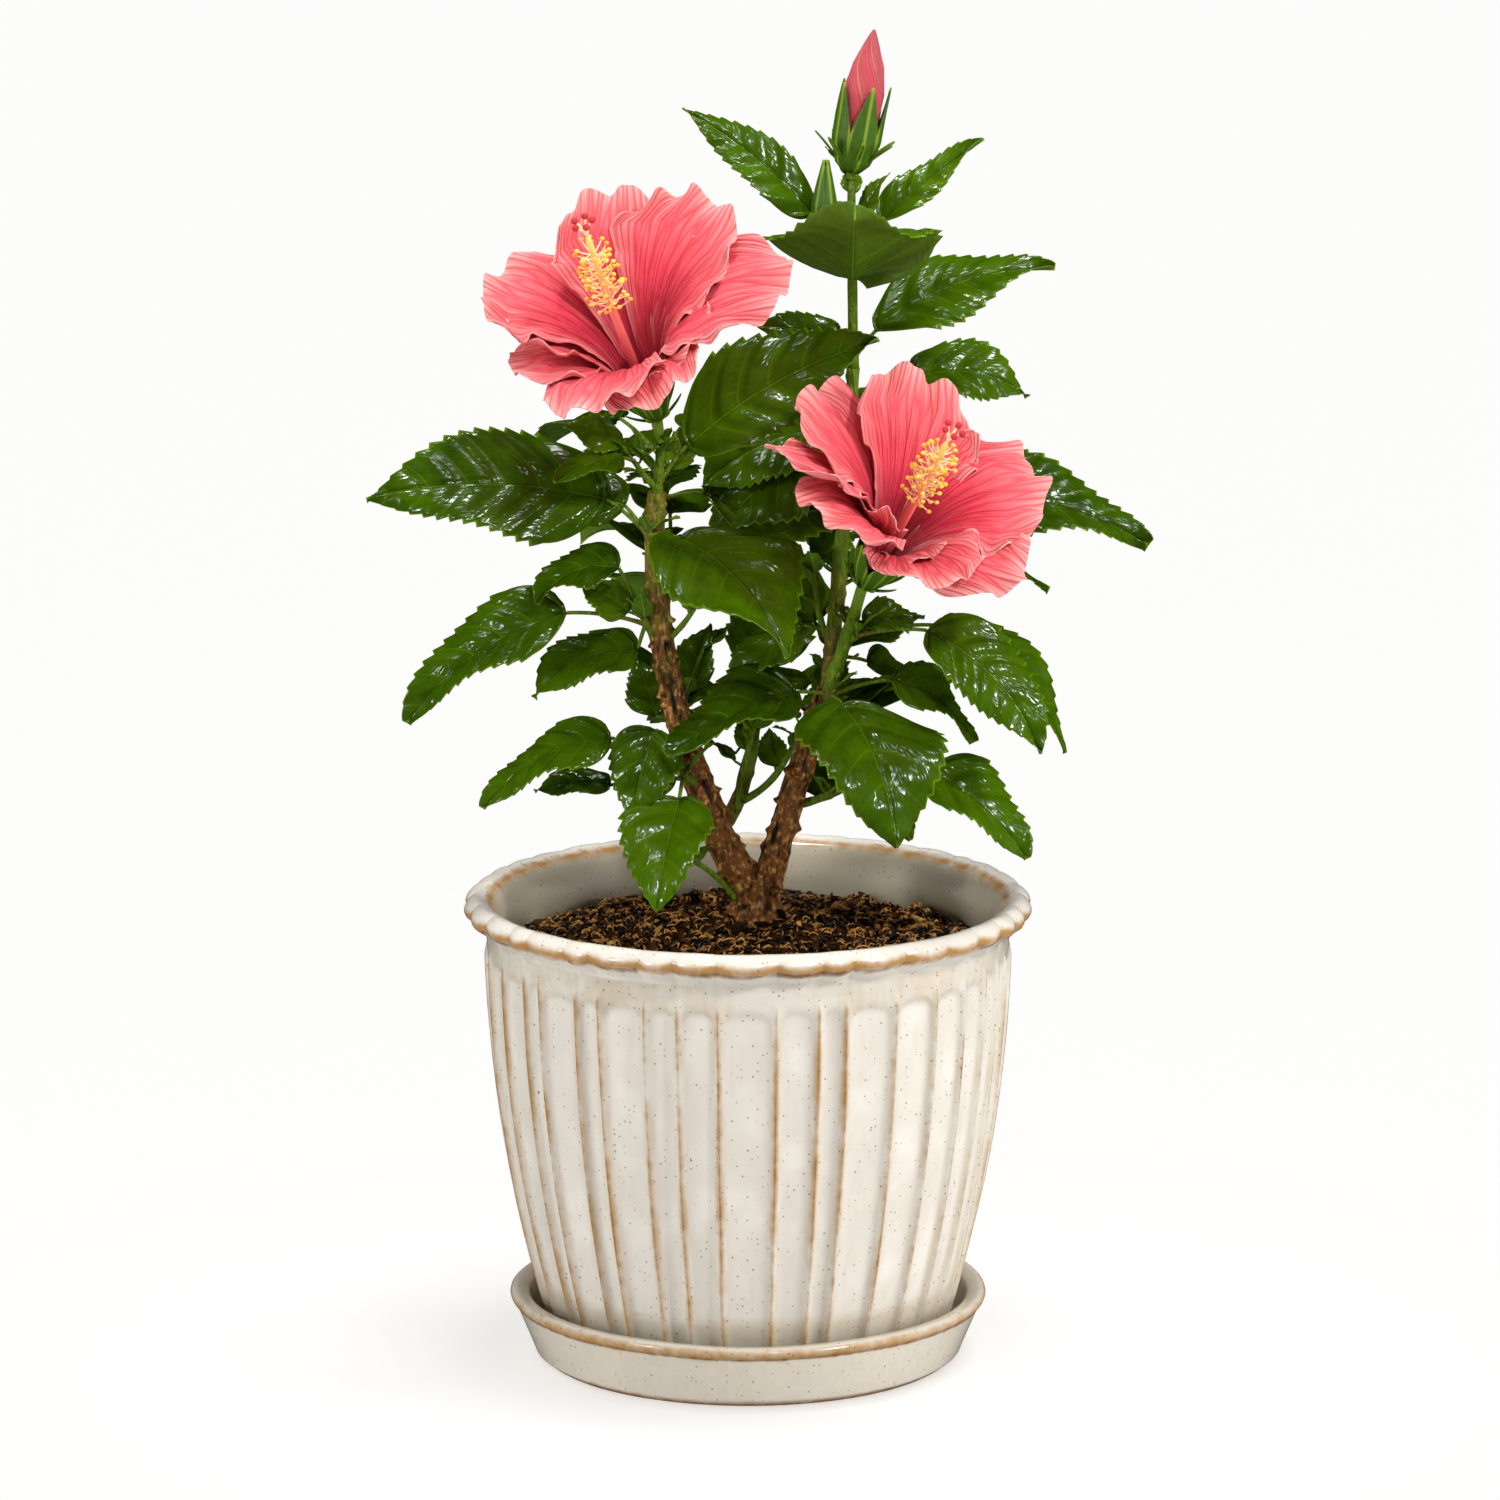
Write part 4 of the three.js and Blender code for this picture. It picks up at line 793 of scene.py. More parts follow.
def sideBudChunks(stem):
    node = onLimb(stem, sideBud["at"])
    low, high = node + sideBud["foot"], node + sideBud["tip"]
    place = frameOf(low, high - low)
    long = float(np.linalg.norm(high - low))
    v, w = strip(22, 9)
    girth = np.interp(v, [0, 0.12, 0.4, 0.7, 1], [0.35, 0.85, 1, 0.6, 0.16]) * sideBud["radius"]
    wide = girth * 0.75 * np.interp(v, [0, 0.5, 0.8, 1], [1, 1, 0.7, 0.1])
    lobes = lobeRing(place, sideBud["lobes"], -1.3, girth, wide, v * long, w, (0.6, 0.8, 0.45),
                     0.35 * w * w - 0.3)
    t = np.linspace(0, 1, 12)
    core = tube(low + place[1] * long * 0.92 * t[:, None], sideBud["radius"] * 0.8 * np.sin(0.4 + 2.5 * t), 14,
                rib=3.0, shade=0.7)
    return [greenStalk(node, low, (1.2, 1.5), 10, 0.6)] + lobes + [core]


# Pot, saucer and soil

fluteWidths = (11, 11.2, 10.8, 6, 11.3, 6.3, 11.1, 7.5, 8.9, 12.5, 9.3, 6.3, 12, 11.2, 9.8, 8.9, 8, 7, 12)
pot = {"footRadius": 75, "swell": 25.4, "swellHeight": 165, "foot": 6.8, "floor": 14.3, "floorRadius": 71,
       "drain": 7, "wall": 7, "neck": 168, "ridge": 1.15, "ridgeWidth": 1.5, "panelEdge": 2.2, "hollow": 1.0,
       "dish": 0.5, "fluteLow": 12, "fluteTop": 159, "arch": 7, "glazeEdge": 34, "wobble": 0.35,
       # shares of a flute's width where the mesh has its columns
       "across": (0, 0.04, 0.085, 0.14, 0.22, 0.34, 0.5, 0.66, 0.78, 0.86, 0.915, 0.96),
       # the rim's section: out from the neck, and height; its scallops stand out by lobe and rise by crest
       "rim": ((0.1, 165.4), (0.1, 167.2), (0.7, 169), (1.8, 170.4), (3.6, 171.8), (5.6, 173.2), (7.2, 174.6),
               (7.9, 175.9), (8.1, 177.1), (7.7, 178.4), (6.9, 179.6), (5.8, 180.7), (4.5, 181.5), (3.2, 181.7),
               (2, 181.5), (0.8, 180.9), (-0.4, 180.3), (-1.6, 179.7), (-2.8, 178.8), (-3.8, 177.2),
               (-4.6, 174.8), (-5.3, 172), (-6.1, 169)),
       "lobe": 1.7, "crest": 0.8, "tuck": 0.7,
       # rows of the rim where the glaze breaks: row, how many rows it takes, how strongly
       "tanRows": ((7.2, 1.9, 1.35), (16.8, 1.7, 1.2)), "rustRows": ((5.6, 0.9, 1.1), (15.4, 0.7, 0.6)),
       "poolFrom": 2, "insideFrom": 18}
saucer = {"foot": 79.5, "floor": 6.5, "rim": 26, "rimRadius": 92.2, "lip": 84.4, "sides": 180, "insideFrom": 34}
soil = {"edge": 160, "mound": 170, "outer": 92.6, "sunk": 0.6, "relief": 2.1, "heap": 4.2, "heapWidth": 17,
        "trunk": (3.5, 0), "trunkRoom": 8, "rings": 96, "columns": 220, "low": 150,
        "chips": 4700, "fibres": 1900, "seed": 5, "chipScale": 0.8}


def potRadius(height):
    t = np.clip((height - pot["foot"]) / pot["swellHeight"], 0, 1)
    return pot["footRadius"] + pot["swell"] * (1 - (1 - t) ** 2)


def lathe(points, **marks):
    # a closed ring of rows that goes round the upright axis
    rows, columns = points.shape[:2]
    k = np.arange(columns)
    last = (rows - 1) * columns
    closing = np.stack([last + k, k, (k + 1) % columns, last + (k + 1) % columns], -1)
    marks = {key: np.broadcast_to(value, (rows, columns)) for key, value in marks.items()}
    faces = np.concatenate([gridFaces(rows, columns, ring=True), closing])
    return chunk(points, [faces[:, ::-1]], **marks)


def potChunk():
    widths = np.array(fluteWidths * 2)
    turns = 2 * np.pi * widths / widths.sum()
    starts = np.pi + np.concatenate([[0], np.cumsum(turns)[:-1]])
    across = np.array(pot["across"])
    angle = (starts[:, None] + turns[:, None] * across).ravel()
    u = np.tile(across, len(widths))[None, :]
    turn = np.repeat(turns, len(across))[None, :]
    flute = np.repeat(np.arange(len(widths)), len(across))
    heights = np.concatenate([[6.8, 8.3, 10], np.arange(12, 146, 2.4), np.arange(146, 165, 1.0)])
    body = [(potRadius(h), h) for h in heights]
    body[0] = (body[0][0] - 1.2, pot["foot"])
    neck = float(potRadius(pot["neck"]))
    rim = [(neck + out, h) for out, h in pot["rim"]]
    inside = [(float(potRadius(h)) - pot["wall"], h) for h in (164, 158, 150, 120, 60)]
    bottom = [(pot["floorRadius"], pot["floor"]), (40, pot["floor"]), (pot["drain"], pot["floor"]),
              (pot["drain"], pot["foot"]), (40, pot["foot"])]
    profile = np.array(body + rim + inside + bottom, float)
    radius, height = profile[:, :1], profile[:, 1:]
    rowAt = np.arange(len(profile)) - len(body)  # counted from the first row of the rim
    outer = (rowAt < 0)[:, None] * 1.0
    edge = np.interp(rowAt, [0, 2, 6, 11, 15, 18], [0, 0.2, 1, 1, 0.4, 0])[:, None]
    # flutes: narrow ridges with hollow panels between them, arched at the top
    ridgeAway = np.minimum(u, 1 - u) * turn * radius
    sway = noise(spread(flute * 3.7, height / 22, 0.0), 1.0, 3)
    lowEnd = smooth(height, pot["fluteLow"], pot["fluteLow"] + 6)
    topEdge = pot["fluteTop"] - pot["arch"] * (1 - np.sqrt(np.clip(1 - (2 * u - 1) ** 2, 0, 1)))
    panelled = outer * lowEnd * (1 - smooth(height, topEdge - 3.5, topEdge + 1.5))
    fluted = outer * lowEnd * (1 - smooth(height, pot["fluteTop"] - 2, pot["fluteTop"] + 5))
    panel = 1 - bell(ridgeAway, pot["panelEdge"])
    proud = fluted * pot["ridge"] * bell(ridgeAway, pot["ridgeWidth"] * (1 + 0.2 * sway))
    proud -= panelled * (pot["hollow"] * panel + pot["dish"] * np.sin(np.pi * u))
    # scallops, one to a flute
    bulge = np.abs(np.sin(np.pi * u))
    scallop = bulge ** 0.9 - 0.6
    proud = proud + edge * pot["lobe"] * scallop
    crest = bell(rowAt - 13, 3.0)[:, None]
    unevenness = 0.25 * noise(spread(np.cos(angle), np.sin(angle), 0.0), 0.09, 8)
    height = height + crest * pot["crest"] * scallop + edge * (unevenness - pot["tuck"] * scallop)
    wobble = pot["wobble"] * noise(spread(np.cos(angle) * 3, np.sin(angle) * 3, height / 40), 1.0, 4)
    radius = radius + proud + wobble * (outer + edge).clip(0, 1)
    points = spread(radius * np.cos(angle), radius * np.sin(angle), height)
    # tan and rust: how far the glaze has run off the ridges and the rim; each ridge shows its own share
    tanRow, rustRow = (sum(strength * bell(rowAt - at, width) for at, width, strength in pot[rows])[:, None]
                       for rows in ("tanRows", "rustRows"))
    # each ridge's share of tan: its own, and less towards the right, which is painted light where the key lamp
    # falls
    tanShareLitPaler = 0.86 - 0.62 * np.clip(np.cos(angle), 0, 1) ** 1.5 + 0.3 * noise(spread(flute * 7.7, 0, 0), 1.0, 6)
    ridgeTan = fluted * np.clip(1.15 - ridgeAway / 1.9, 0, 1) * (tanShareLitPaler + 0.35 * sway)
    archTan = outer * bell(height - topEdge, 1.4) * 0.3
    glazeLine = height + 1.6 * sway - pot["glazeEdge"]
    tans = (ridgeTan, tanRow * (0.72 + 0.28 * (1 - bulge)), archTan, outer * bell(glazeLine, 1.1) * 0.4)
    return lathe(points, tan=np.maximum.reduce(np.broadcast_arrays(*tans)),
                 pool=np.maximum(panelled * panel, 0.9 * (rowAt >= pot["poolFrom"])[:, None]),
                 # the inside rows, which the glaze paints darker as painted shade
                 inner=(rowAt >= pot["insideFrom"])[:, None],
                 rust=rustRow * (0.6 + 0.5 * sway) + 0.5 * fluted * np.clip(1 - ridgeAway / 0.6, 0, 1),
                 bare=outer * (1 - smooth(glazeLine, -3, 1)))


def saucerChunk():
    foot, floor, rim, rimRadius, lip = (saucer[k] for k in ("foot", "floor", "rim", "rimRadius", "lip"))
    # each knot of the section is its radius, its height and how tan the glaze is there
    knots = [(0.05, 0, 0), (foot - 3, 0, 0), (foot - 0.6, 0.1, 0.7), (foot + 0.4, 0.7, 1),
             (foot + 1.6, 1.8, 0.6)]
    knots += [(foot + 3 + (rimRadius - foot - 4.9) * t, 2.7 + (rim - 7.2) * t,
               0.7 * t ** 16 + 0.3 * (1 - t) ** 14)
              for t in np.linspace(0, 1, 24)]
    knots += [(rimRadius + out, rim + up, tan) for out, up, tan in (
        (-1, -3.8, 0.95), (-0.3, -2.9, 0.9), (0, -2, 0.85), (-0.2, -1.2, 0.75), (-0.9, -0.5, 0.45),
        (-2, -0.1, 0.1), (-3.4, 0, 0))]
    knots += [(lip + out, rim + up, tan) for out, up, tan in (
        (2.6, -0.1, 0), (1.2, -0.6, 0.15), (0.3, -1.6, 0.5), (-0.1, -3, 0.3), (-1.6, -8, 0), (-3, -13, 0))]
    knots += [(foot + 0.8, floor + 2, 0), (foot - 1.5, floor, 0), (0.05, floor, 0)]
    radius, height, tan = np.array(knots, float).T[:, :, None]
    angle = turnsOf(saucer["sides"])
    circle = spread(np.cos(angle), np.sin(angle), 0.0)
    wobble = 0.3 * noise(circle, 0.5, 11) * smooth(height, 1, 8)
    warp = 0.35 * noise(circle, 0.4, 12) * smooth(height, 12, 24)
    points = spread((radius + wobble) * np.cos(angle), (radius + wobble) * np.sin(angle), height + warp)
    under = bell(height - rim + 4.6, 0.6) * (radius > rimRadius - 2.5)
    inside = (np.arange(len(knots)) > saucer["insideFrom"])[:, None]
    # the saucer's inside takes half of the pot's painted inside shade
    return lathe(points, tan=tan, rust=0.75 * under + 0.6 * (height < 1.0), pool=0.7, inner=inside * 0.5,
                 bare=0.25)


def soilHeight(x, y):
    place = spread(x, y, 0.0)
    rise = soil["mound"] - (soil["mound"] - soil["edge"]) * (np.hypot(x, y) / soil["outer"]) ** 2 - soil["sunk"]
    rise = rise + soil["heap"] * bell(np.hypot(x - soil["trunk"][0], y - soil["trunk"][1]), soil["heapWidth"])
    rough = noise(place, 11, 21) + 0.7 * noise(place, 4.6, 22) + 0.45 * noise(place, 2.1, 23)
    return rise + soil["relief"] * rough


def soilChunks():
    # a mound of crumbs, with chips and curly fibres strewn over it
    chance = np.random.RandomState(soil["seed"])
    columns = soil["columns"]
    r = np.linspace(0.4, soil["outer"], soil["rings"])[:, None]
    angle = turnsOf(columns)[None, :]
    x, y = r * np.cos(angle), r * np.sin(angle)
    points = np.concatenate([spread(x, y, soilHeight(x, y)), spread(x[-1:], y[-1:], soil["low"])])
    k = np.arange(columns)
    faces = [gridFaces(soil["rings"] + 1, columns, ring=True), k[None],
             (soil["rings"] * columns + k)[None, ::-1]]
    chunks = [chunk(points, faces, shade=0.25 + 0.2 * noise(points, 3, 31))]
    corners = np.array([[i, j, k] for i in (-1, 1) for j in (-1, 1) for k in (-1, 1)], float)
    box = np.array([[0, 1, 3, 2], [4, 6, 7, 5], [0, 4, 5, 1], [2, 3, 7, 6], [0, 2, 6, 4], [1, 5, 7, 3]])
    for n in range(soil["chips"] + soil["fibres"]):
        reach = math.sqrt(chance.rand()) * (soil["outer"] - 3)
        turn = chance.rand() * 2 * math.pi
        x, y = reach * math.cos(turn), reach * math.sin(turn)
        if math.hypot(x - soil["trunk"][0], y - soil["trunk"][1]) < soil["trunkRoom"]:
            continue
        size = chance.rand() ** 2.2
        ground = float(soilHeight(np.array(x), np.array(y)))
        if n >= soil["chips"]:
            # a curly fibre that arches out of the crumbs and back
            long, bend, spin = 2 + 5 * size, 1.2 * (chance.rand() - 0.5), chance.rand() * 2 * math.pi
            v = np.linspace(-1, 1, 5)
            run, aside = v * long / 2, bend * long * (v * v - 0.5)
            line = np.stack([x + run * math.cos(spin) - aside * math.sin(spin),
                             y + run * math.sin(spin) + aside * math.cos(spin),
                             ground + 0.5 + (0.4 + chance.rand()) * (1 - 1.5 * v * v)], -1)
            radii = (0.16 + 0.2 * chance.rand()) * (1 - 0.4 * v * v)
            chunks.append(tube(line, radii, 4, shade=0.75 + 0.3 * chance.rand()))
            continue
        extent = np.array([0.5 + 3.0 * size, 0.4 + 1.3 * size * chance.rand(),
                           0.4 + 1.1 * size * chance.rand()])
        shape = corners * (1 + 0.5 * (chance.rand(8, 3) - 0.5)) * extent * soil["chipScale"]
        spin = chance.rand() * 2 * math.pi
        tip = (chance.rand() - 0.5) * 1.3
        ahead = np.array([math.cos(spin) * math.cos(tip), math.sin(spin) * math.cos(tip), math.sin(tip)])
        aside = unit(np.array([-math.sin(spin), math.cos(spin), (chance.rand() - 0.5) * 0.8]))
        turned = shape @ np.stack([ahead, aside, np.cross(ahead, aside)])
        chunks.append(chunk(turned + [x, y, ground + 0.25], [box], shade=chance.rand() ** 4))
    return chunks


# Materials. A pattern's Scale is 1000 divided by the size of its cells in millimetres.

def glazedStoneware():
    # stoneware dipped in a cream gloss glaze: it breaks to tan where the glaze runs thin over ridges, lies
    # paler in the hollows, and iron in the clay shows through as brown specks; the inside is painted darker as
    # shade
    look = {"cream": "#CCC6BB", "warm": "#C1B5A2", "pool": "#D9D4CB", "tan": "#A57E4C", "rust": "#6E4219",
            "insideShade": "#AFA58F", "bare": "#A79878", "speck": "#6E4C28", "roughness": (0.16, 0.26), "IOR": 1.52}
    material, tree, shader, place, pool, inner, bare, tan, rust = newMaterial(
        "glazedStoneware", "pool", "inner", "bare", "tan", "rust")
    cloud, grain, uneven = (addNode(tree, "TexNoise", {"Vector": place, "Scale": scale, "Detail": detail})
                            for scale, detail in ((45, 4), (260, 3), (230, 2)))
    # thick and thin glaze: clouds about 20 mm across broken by fine streaks that ran down before firing
    drawn = addNode(tree, "Mapping", {"Vector": place, "Scale": (1, 1, 0.22)})
    streak = addNode(tree, "TexNoise", {"Vector": drawn, "Scale": 380, "Detail": 3})
    streak = addNode(tree, "Math", {0: streak, 1: 0.5, 2: -0.25}, operation="MULTIPLY_ADD")
    cloudy = addNode(tree, "Math", {0: cloud, 1: streak}, operation="ADD")
    cloudy = addNode(tree, "MapRange", {0: cloudy, 1: 0.35, 2: 0.68})
    pool = addNode(tree, "Math", {0: pool, 1: cloud}, operation="MULTIPLY")
    pool = addNode(tree, "MapRange", {0: pool, 1: 0.25, 2: 0.65})
    # the inside wall: painted shade, a darker greyer colour that stands in for the shade inside the pot
    inner = addNode(tree, "Math", {0: inner, 1: 0.85}, operation="MULTIPLY")
    bare = addNode(tree, "Math", {0: bare, 1: 0.42}, operation="MULTIPLY")
    # the tan and rust lines are broken by the glaze's own unevenness
    uneven = addNode(tree, "Math", {0: cloud, 1: 0.8, 2: uneven}, operation="MULTIPLY_ADD")
    uneven = addNode(tree, "Math", {0: uneven, 1: 0.7, 2: -0.65}, operation="MULTIPLY_ADD")
    tan = addNode(tree, "Math", {0: tan, 1: uneven}, operation="ADD")
    tan = addNode(tree, "MapRange", {0: tan, 1: 0.25, 2: 1.0})
    rust = addNode(tree, "Math", {0: rust, 1: uneven}, operation="ADD")
    rust = addNode(tree, "MapRange", {0: rust, 1: 0.25, 2: 0.8, 4: 0.85})
    layers = [(cloudy, "warm"), (pool, "pool"), (inner, "insideShade"), (bare, "bare"), (tan, "tan"), (rust, "rust")]
    # specks 2 mm apart and up to 0.5 mm across, then a few blots 9 mm apart and up to 1 mm across, each
    # with its own chance
    for name, scale, channel, least, most, strength in (("speck", 520, 0, 0.3, 0.24, 0.62),
                                                        ("rust", 110, 1, 0.4, 0.06, 0.75)):
        cells = addNode(tree, "TexVoronoi", {"Vector": place, "Scale": scale}, feature="F1")
        chance = addNode(tree, "SeparateColor", {0: cells.node.outputs["Color"]}, channel)
        size = addNode(tree, "MapRange", {0: chance, 1: least, 2: 1.0, 3: 0.0, 4: most})
        speck = addNode(tree, "Math", {0: cells, 1: size}, operation="LESS_THAN")
        layers.append((addNode(tree, "Math", {0: speck, 1: strength}, operation="MULTIPLY"), name))
    colour = linear(look["cream"])
    for share, name in layers:
        colour = addNode(tree, "Mix", {0: share, 6: colour, 7: linear(look[name])}, 2, data_type="RGBA")
    low, high = look["roughness"]
    rough = addNode(tree, "MapRange", {0: cloud, 3: low, 4: high})
    wavy = addNode(tree, "Math", {0: cloud, 1: 0.35}, operation="MULTIPLY")
    height = addNode(tree, "Math", {0: grain, 1: 0.3, 2: wavy}, operation="MULTIPLY_ADD")
    bump = addNode(tree, "Bump", {"Height": height, "Strength": 0.35, "Distance": 0.0006})
    feed(tree, shader, {"Base Color": colour, "Roughness": rough, "IOR": look["IOR"], "Coat Weight": 0.35,
                        "Coat Roughness": 0.08, "Normal": bump})
    return material


def barkCoir():
    # chopped bark and coir: dark damp crumbs with golden fibres and splinters
    look = {"damp": "#0C0502", "brown": "#4C2C0E", "gold": "#CC9450", "roughness": 0.34, "IOR": 1.28}
    material, tree, shader, place, shade = newMaterial("barkCoir", "shade")
    crumb = addNode(tree, "TexNoise", {"Vector": place, "Scale": 650, "Detail": 5})
    tone = addNode(tree, "Math", {0: crumb, 1: 0.7, 2: -0.35}, operation="MULTIPLY_ADD")
    tone = addNode(tree, "Math", {0: shade, 1: tone}, operation="ADD")
    colour = linear(look["damp"])
    for name, low, high in (("brown", 0.05, 0.6), ("gold", 0.62, 1.05)):
        share = addNode(tree, "MapRange", {0: tone, 1: low, 2: high})
        colour = addNode(tree, "Mix", {0: share, 6: colour, 7: linear(look[name])}, 2, data_type="RGBA")
    bump = addNode(tree, "Bump", {"Height": crumb, "Strength": 0.8, "Distance": 0.00065})
    feed(tree, shader, {"Base Color": colour, "Roughness": look["roughness"], "IOR": look["IOR"],
                        "Normal": bump})
    return material


def hibiscusBark():
    # young woody bark: brown with dark fissures and paler flakes, passing to smooth green stem
    look = {"brown": "#86501C", "dark": "#1A0B02", "pale": "#E6AA5E", "green": "#46640A", "bright": "#7A9A1C",
            "red": "#7A3E2A", "roughness": (0.36, 0.28)}
    material, tree, shader, place, crack, green, red = newMaterial("hibiscusBark", "crack", "green", "red")
    stretched = addNode(tree, "Mapping", {"Vector": place, "Scale": (1, 1, 0.28)})
    streak = addNode(tree, "TexNoise", {"Vector": stretched, "Scale": 760, "Detail": 5})
    patch, flakes = (addNode(tree, "TexNoise", {"Vector": place, "Scale": scale, "Detail": 3})
                     for scale in (120, 420))
    pale = addNode(tree, "MapRange", {0: flakes, 1: 0.49, 2: 0.7})
    cracks = addNode(tree, "Math", {0: crack, 1: 2.5, 2: -0.3}, operation="MULTIPLY_ADD")
    streaks = addNode(tree, "MapRange", {0: streak, 1: 0.48, 2: 0.3})
    dark = addNode(tree, "Math", {0: cracks, 1: streaks}, operation="MAXIMUM", use_clamp=True)
    wood, stem = linear(look["brown"]), linear(look["green"])
    for share, name in ((pale, "pale"), (dark, "dark")):
        wood = addNode(tree, "Mix", {0: share, 6: wood, 7: linear(look[name])}, 2, data_type="RGBA")
    for share, name in ((streak, "bright"), (red, "red")):
        stem = addNode(tree, "Mix", {0: share, 6: stem, 7: linear(look[name])}, 2, data_type="RGBA")
    ragged = addNode(tree, "Math", {0: patch, 1: 0.5, 2: green}, operation="MULTIPLY_ADD")
    fresh = addNode(tree, "MapRange", {0: ragged, 1: 0.5, 2: 1.0})
    colour = addNode(tree, "Mix", {0: fresh, 6: wood, 7: stem}, 2, data_type="RGBA")
    woody, green = look["roughness"]
    rough = addNode(tree, "MapRange", {0: fresh, 3: woody, 4: green})
    bump = addNode(tree, "Bump", {"Height": streak, "Strength": 1.0, "Distance": 0.003})
    feed(tree, shader, {"Base Color": colour, "Roughness": rough, "Normal": bump})
    return material


def waxyLeaf():
    # hibiscus leaf: waxy dark green above with paler sunken veins, duller and lighter below
    look = {"deep": "#142900", "green": "#3E5C02", "young": "#749414", "vein": "#658614", "under": "#48680C",
            "underVein": "#6E8E28", "edge": "#7E9E20", "roughness": (0.19, 0.5), "IOR": 1.38}
    material, tree, shader, place, under, vein, rib, shade, across = newMaterial(
        "waxyLeaf", "under", "vein", "rib", "shade", "across")
    mottle = addNode(tree, "TexNoise", {"Vector": place, "Scale": 110, "Detail": 3})
    mottle = addNode(tree, "Math", {0: mottle, 1: 0.5, 2: -0.25}, operation="MULTIPLY_ADD")
    tone = addNode(tree, "Math", {0: shade, 1: mottle}, operation="ADD")
    # the midrib fades out 0.4 mm from its middle; a side vein takes a fiftieth of the space to the next one
    away = addNode(tree, "Math", {0: rib}, operation="ABSOLUTE")
    midrib = addNode(tree, "MapRange", {0: away, 1: 0.42, 2: 0.2})
    beside = addNode(tree, "Math", {0: vein, 1: 0.5}, operation="ADD")
    beside = addNode(tree, "Math", {0: beside}, operation="FRACT")
    beside = addNode(tree, "Math", {0: beside, 1: 0.5}, operation="SUBTRACT")
    beside = addNode(tree, "Math", {0: beside}, operation="ABSOLUTE")
    side = addNode(tree, "MapRange", {0: beside, 1: 0.022, 2: 0.004})
    # between them a net of fine veins, with cells about 2.4 mm across the blade
    netX = addNode(tree, "Math", {0: vein, 1: 2.4}, operation="MULTIPLY")
    netY = addNode(tree, "Math", {0: rib, 1: 0.42}, operation="MULTIPLY")
    net = addNode(tree, "CombineXYZ", {0: netX, 1: netY})
    net = addNode(tree, "TexVoronoi", {"Vector": net, "Scale": 1.0}, feature="DISTANCE_TO_EDGE")
    fine = addNode(tree, "MapRange", {0: net, 1: 0.07, 2: 0.0, 4: 0.12})
    outward = addNode(tree, "Math", {0: across}, operation="ABSOLUTE")
    fading = addNode(tree, "MapRange", {0: outward, 1: 0.3, 2: 1.0, 3: 0.42, 4: 0.08})
    side = addNode(tree, "Math", {0: side, 1: fading}, operation="MULTIPLY")
    lines = addNode(tree, "Math", {0: midrib, 1: side}, operation="MAXIMUM")
    lines = addNode(tree, "Math", {0: lines, 1: fine}, operation="MAXIMUM")
    veins = addNode(tree, "Math", {0: lines, 1: 0.6}, operation="MULTIPLY")
    old = addNode(tree, "MapRange", {0: tone, 1: 0.0, 2: 0.5})
    fresh = addNode(tree, "MapRange", {0: tone, 1: 0.55, 2: 1.15})
    # a pale rim along the margin: painted light, the glow of light shining through the thin edge
    rim = addNode(tree, "MapRange", {0: outward, 1: 0.95, 2: 1.0, 4: 0.45})
    top = linear(look["deep"])
    for share, name in ((old, "green"), (fresh, "young"), (veins, "vein"), (rim, "edge")):
        top = addNode(tree, "Mix", {0: share, 6: top, 7: linear(look[name])}, 2, data_type="RGBA")
    below = addNode(tree, "Mix", {0: lines, 6: linear(look["under"]), 7: linear(look["underVein"])}, 2,
                    data_type="RGBA")
    colour = addNode(tree, "Mix", {0: under, 6: top, 7: below}, 2, data_type="RGBA")
    low, high = look["roughness"]
    rough = addNode(tree, "MapRange", {0: under, 3: low, 4: high})
    # the blade puffs up between its veins, most between the main ones, and blisters every 7 mm or so
    cushion = addNode(tree, "MapRange", {0: beside, 1: -0.05, 2: 0.5}, interpolation_type="SMOOTHSTEP")
    relief = addNode(tree, "MapRange", {0: net, 1: 0.0, 2: 0.4, 4: 0.2}, interpolation_type="SMOOTHSTEP")
    blister = addNode(tree, "TexNoise", {"Vector": place, "Scale": 150, "Detail": 0})
    for shape, height in ((blister, 0.3), (cushion, 0.36), (midrib, -1.2)):
        relief = addNode(tree, "Math", {0: shape, 1: height, 2: relief}, operation="MULTIPLY_ADD")
    bump = addNode(tree, "Bump", {"Height": relief, "Strength": 0.8, "Distance": 0.0008})
    feed(tree, shader, {"Base Color": colour, "Roughness": rough, "IOR": look["IOR"], "Normal": bump})
    return material


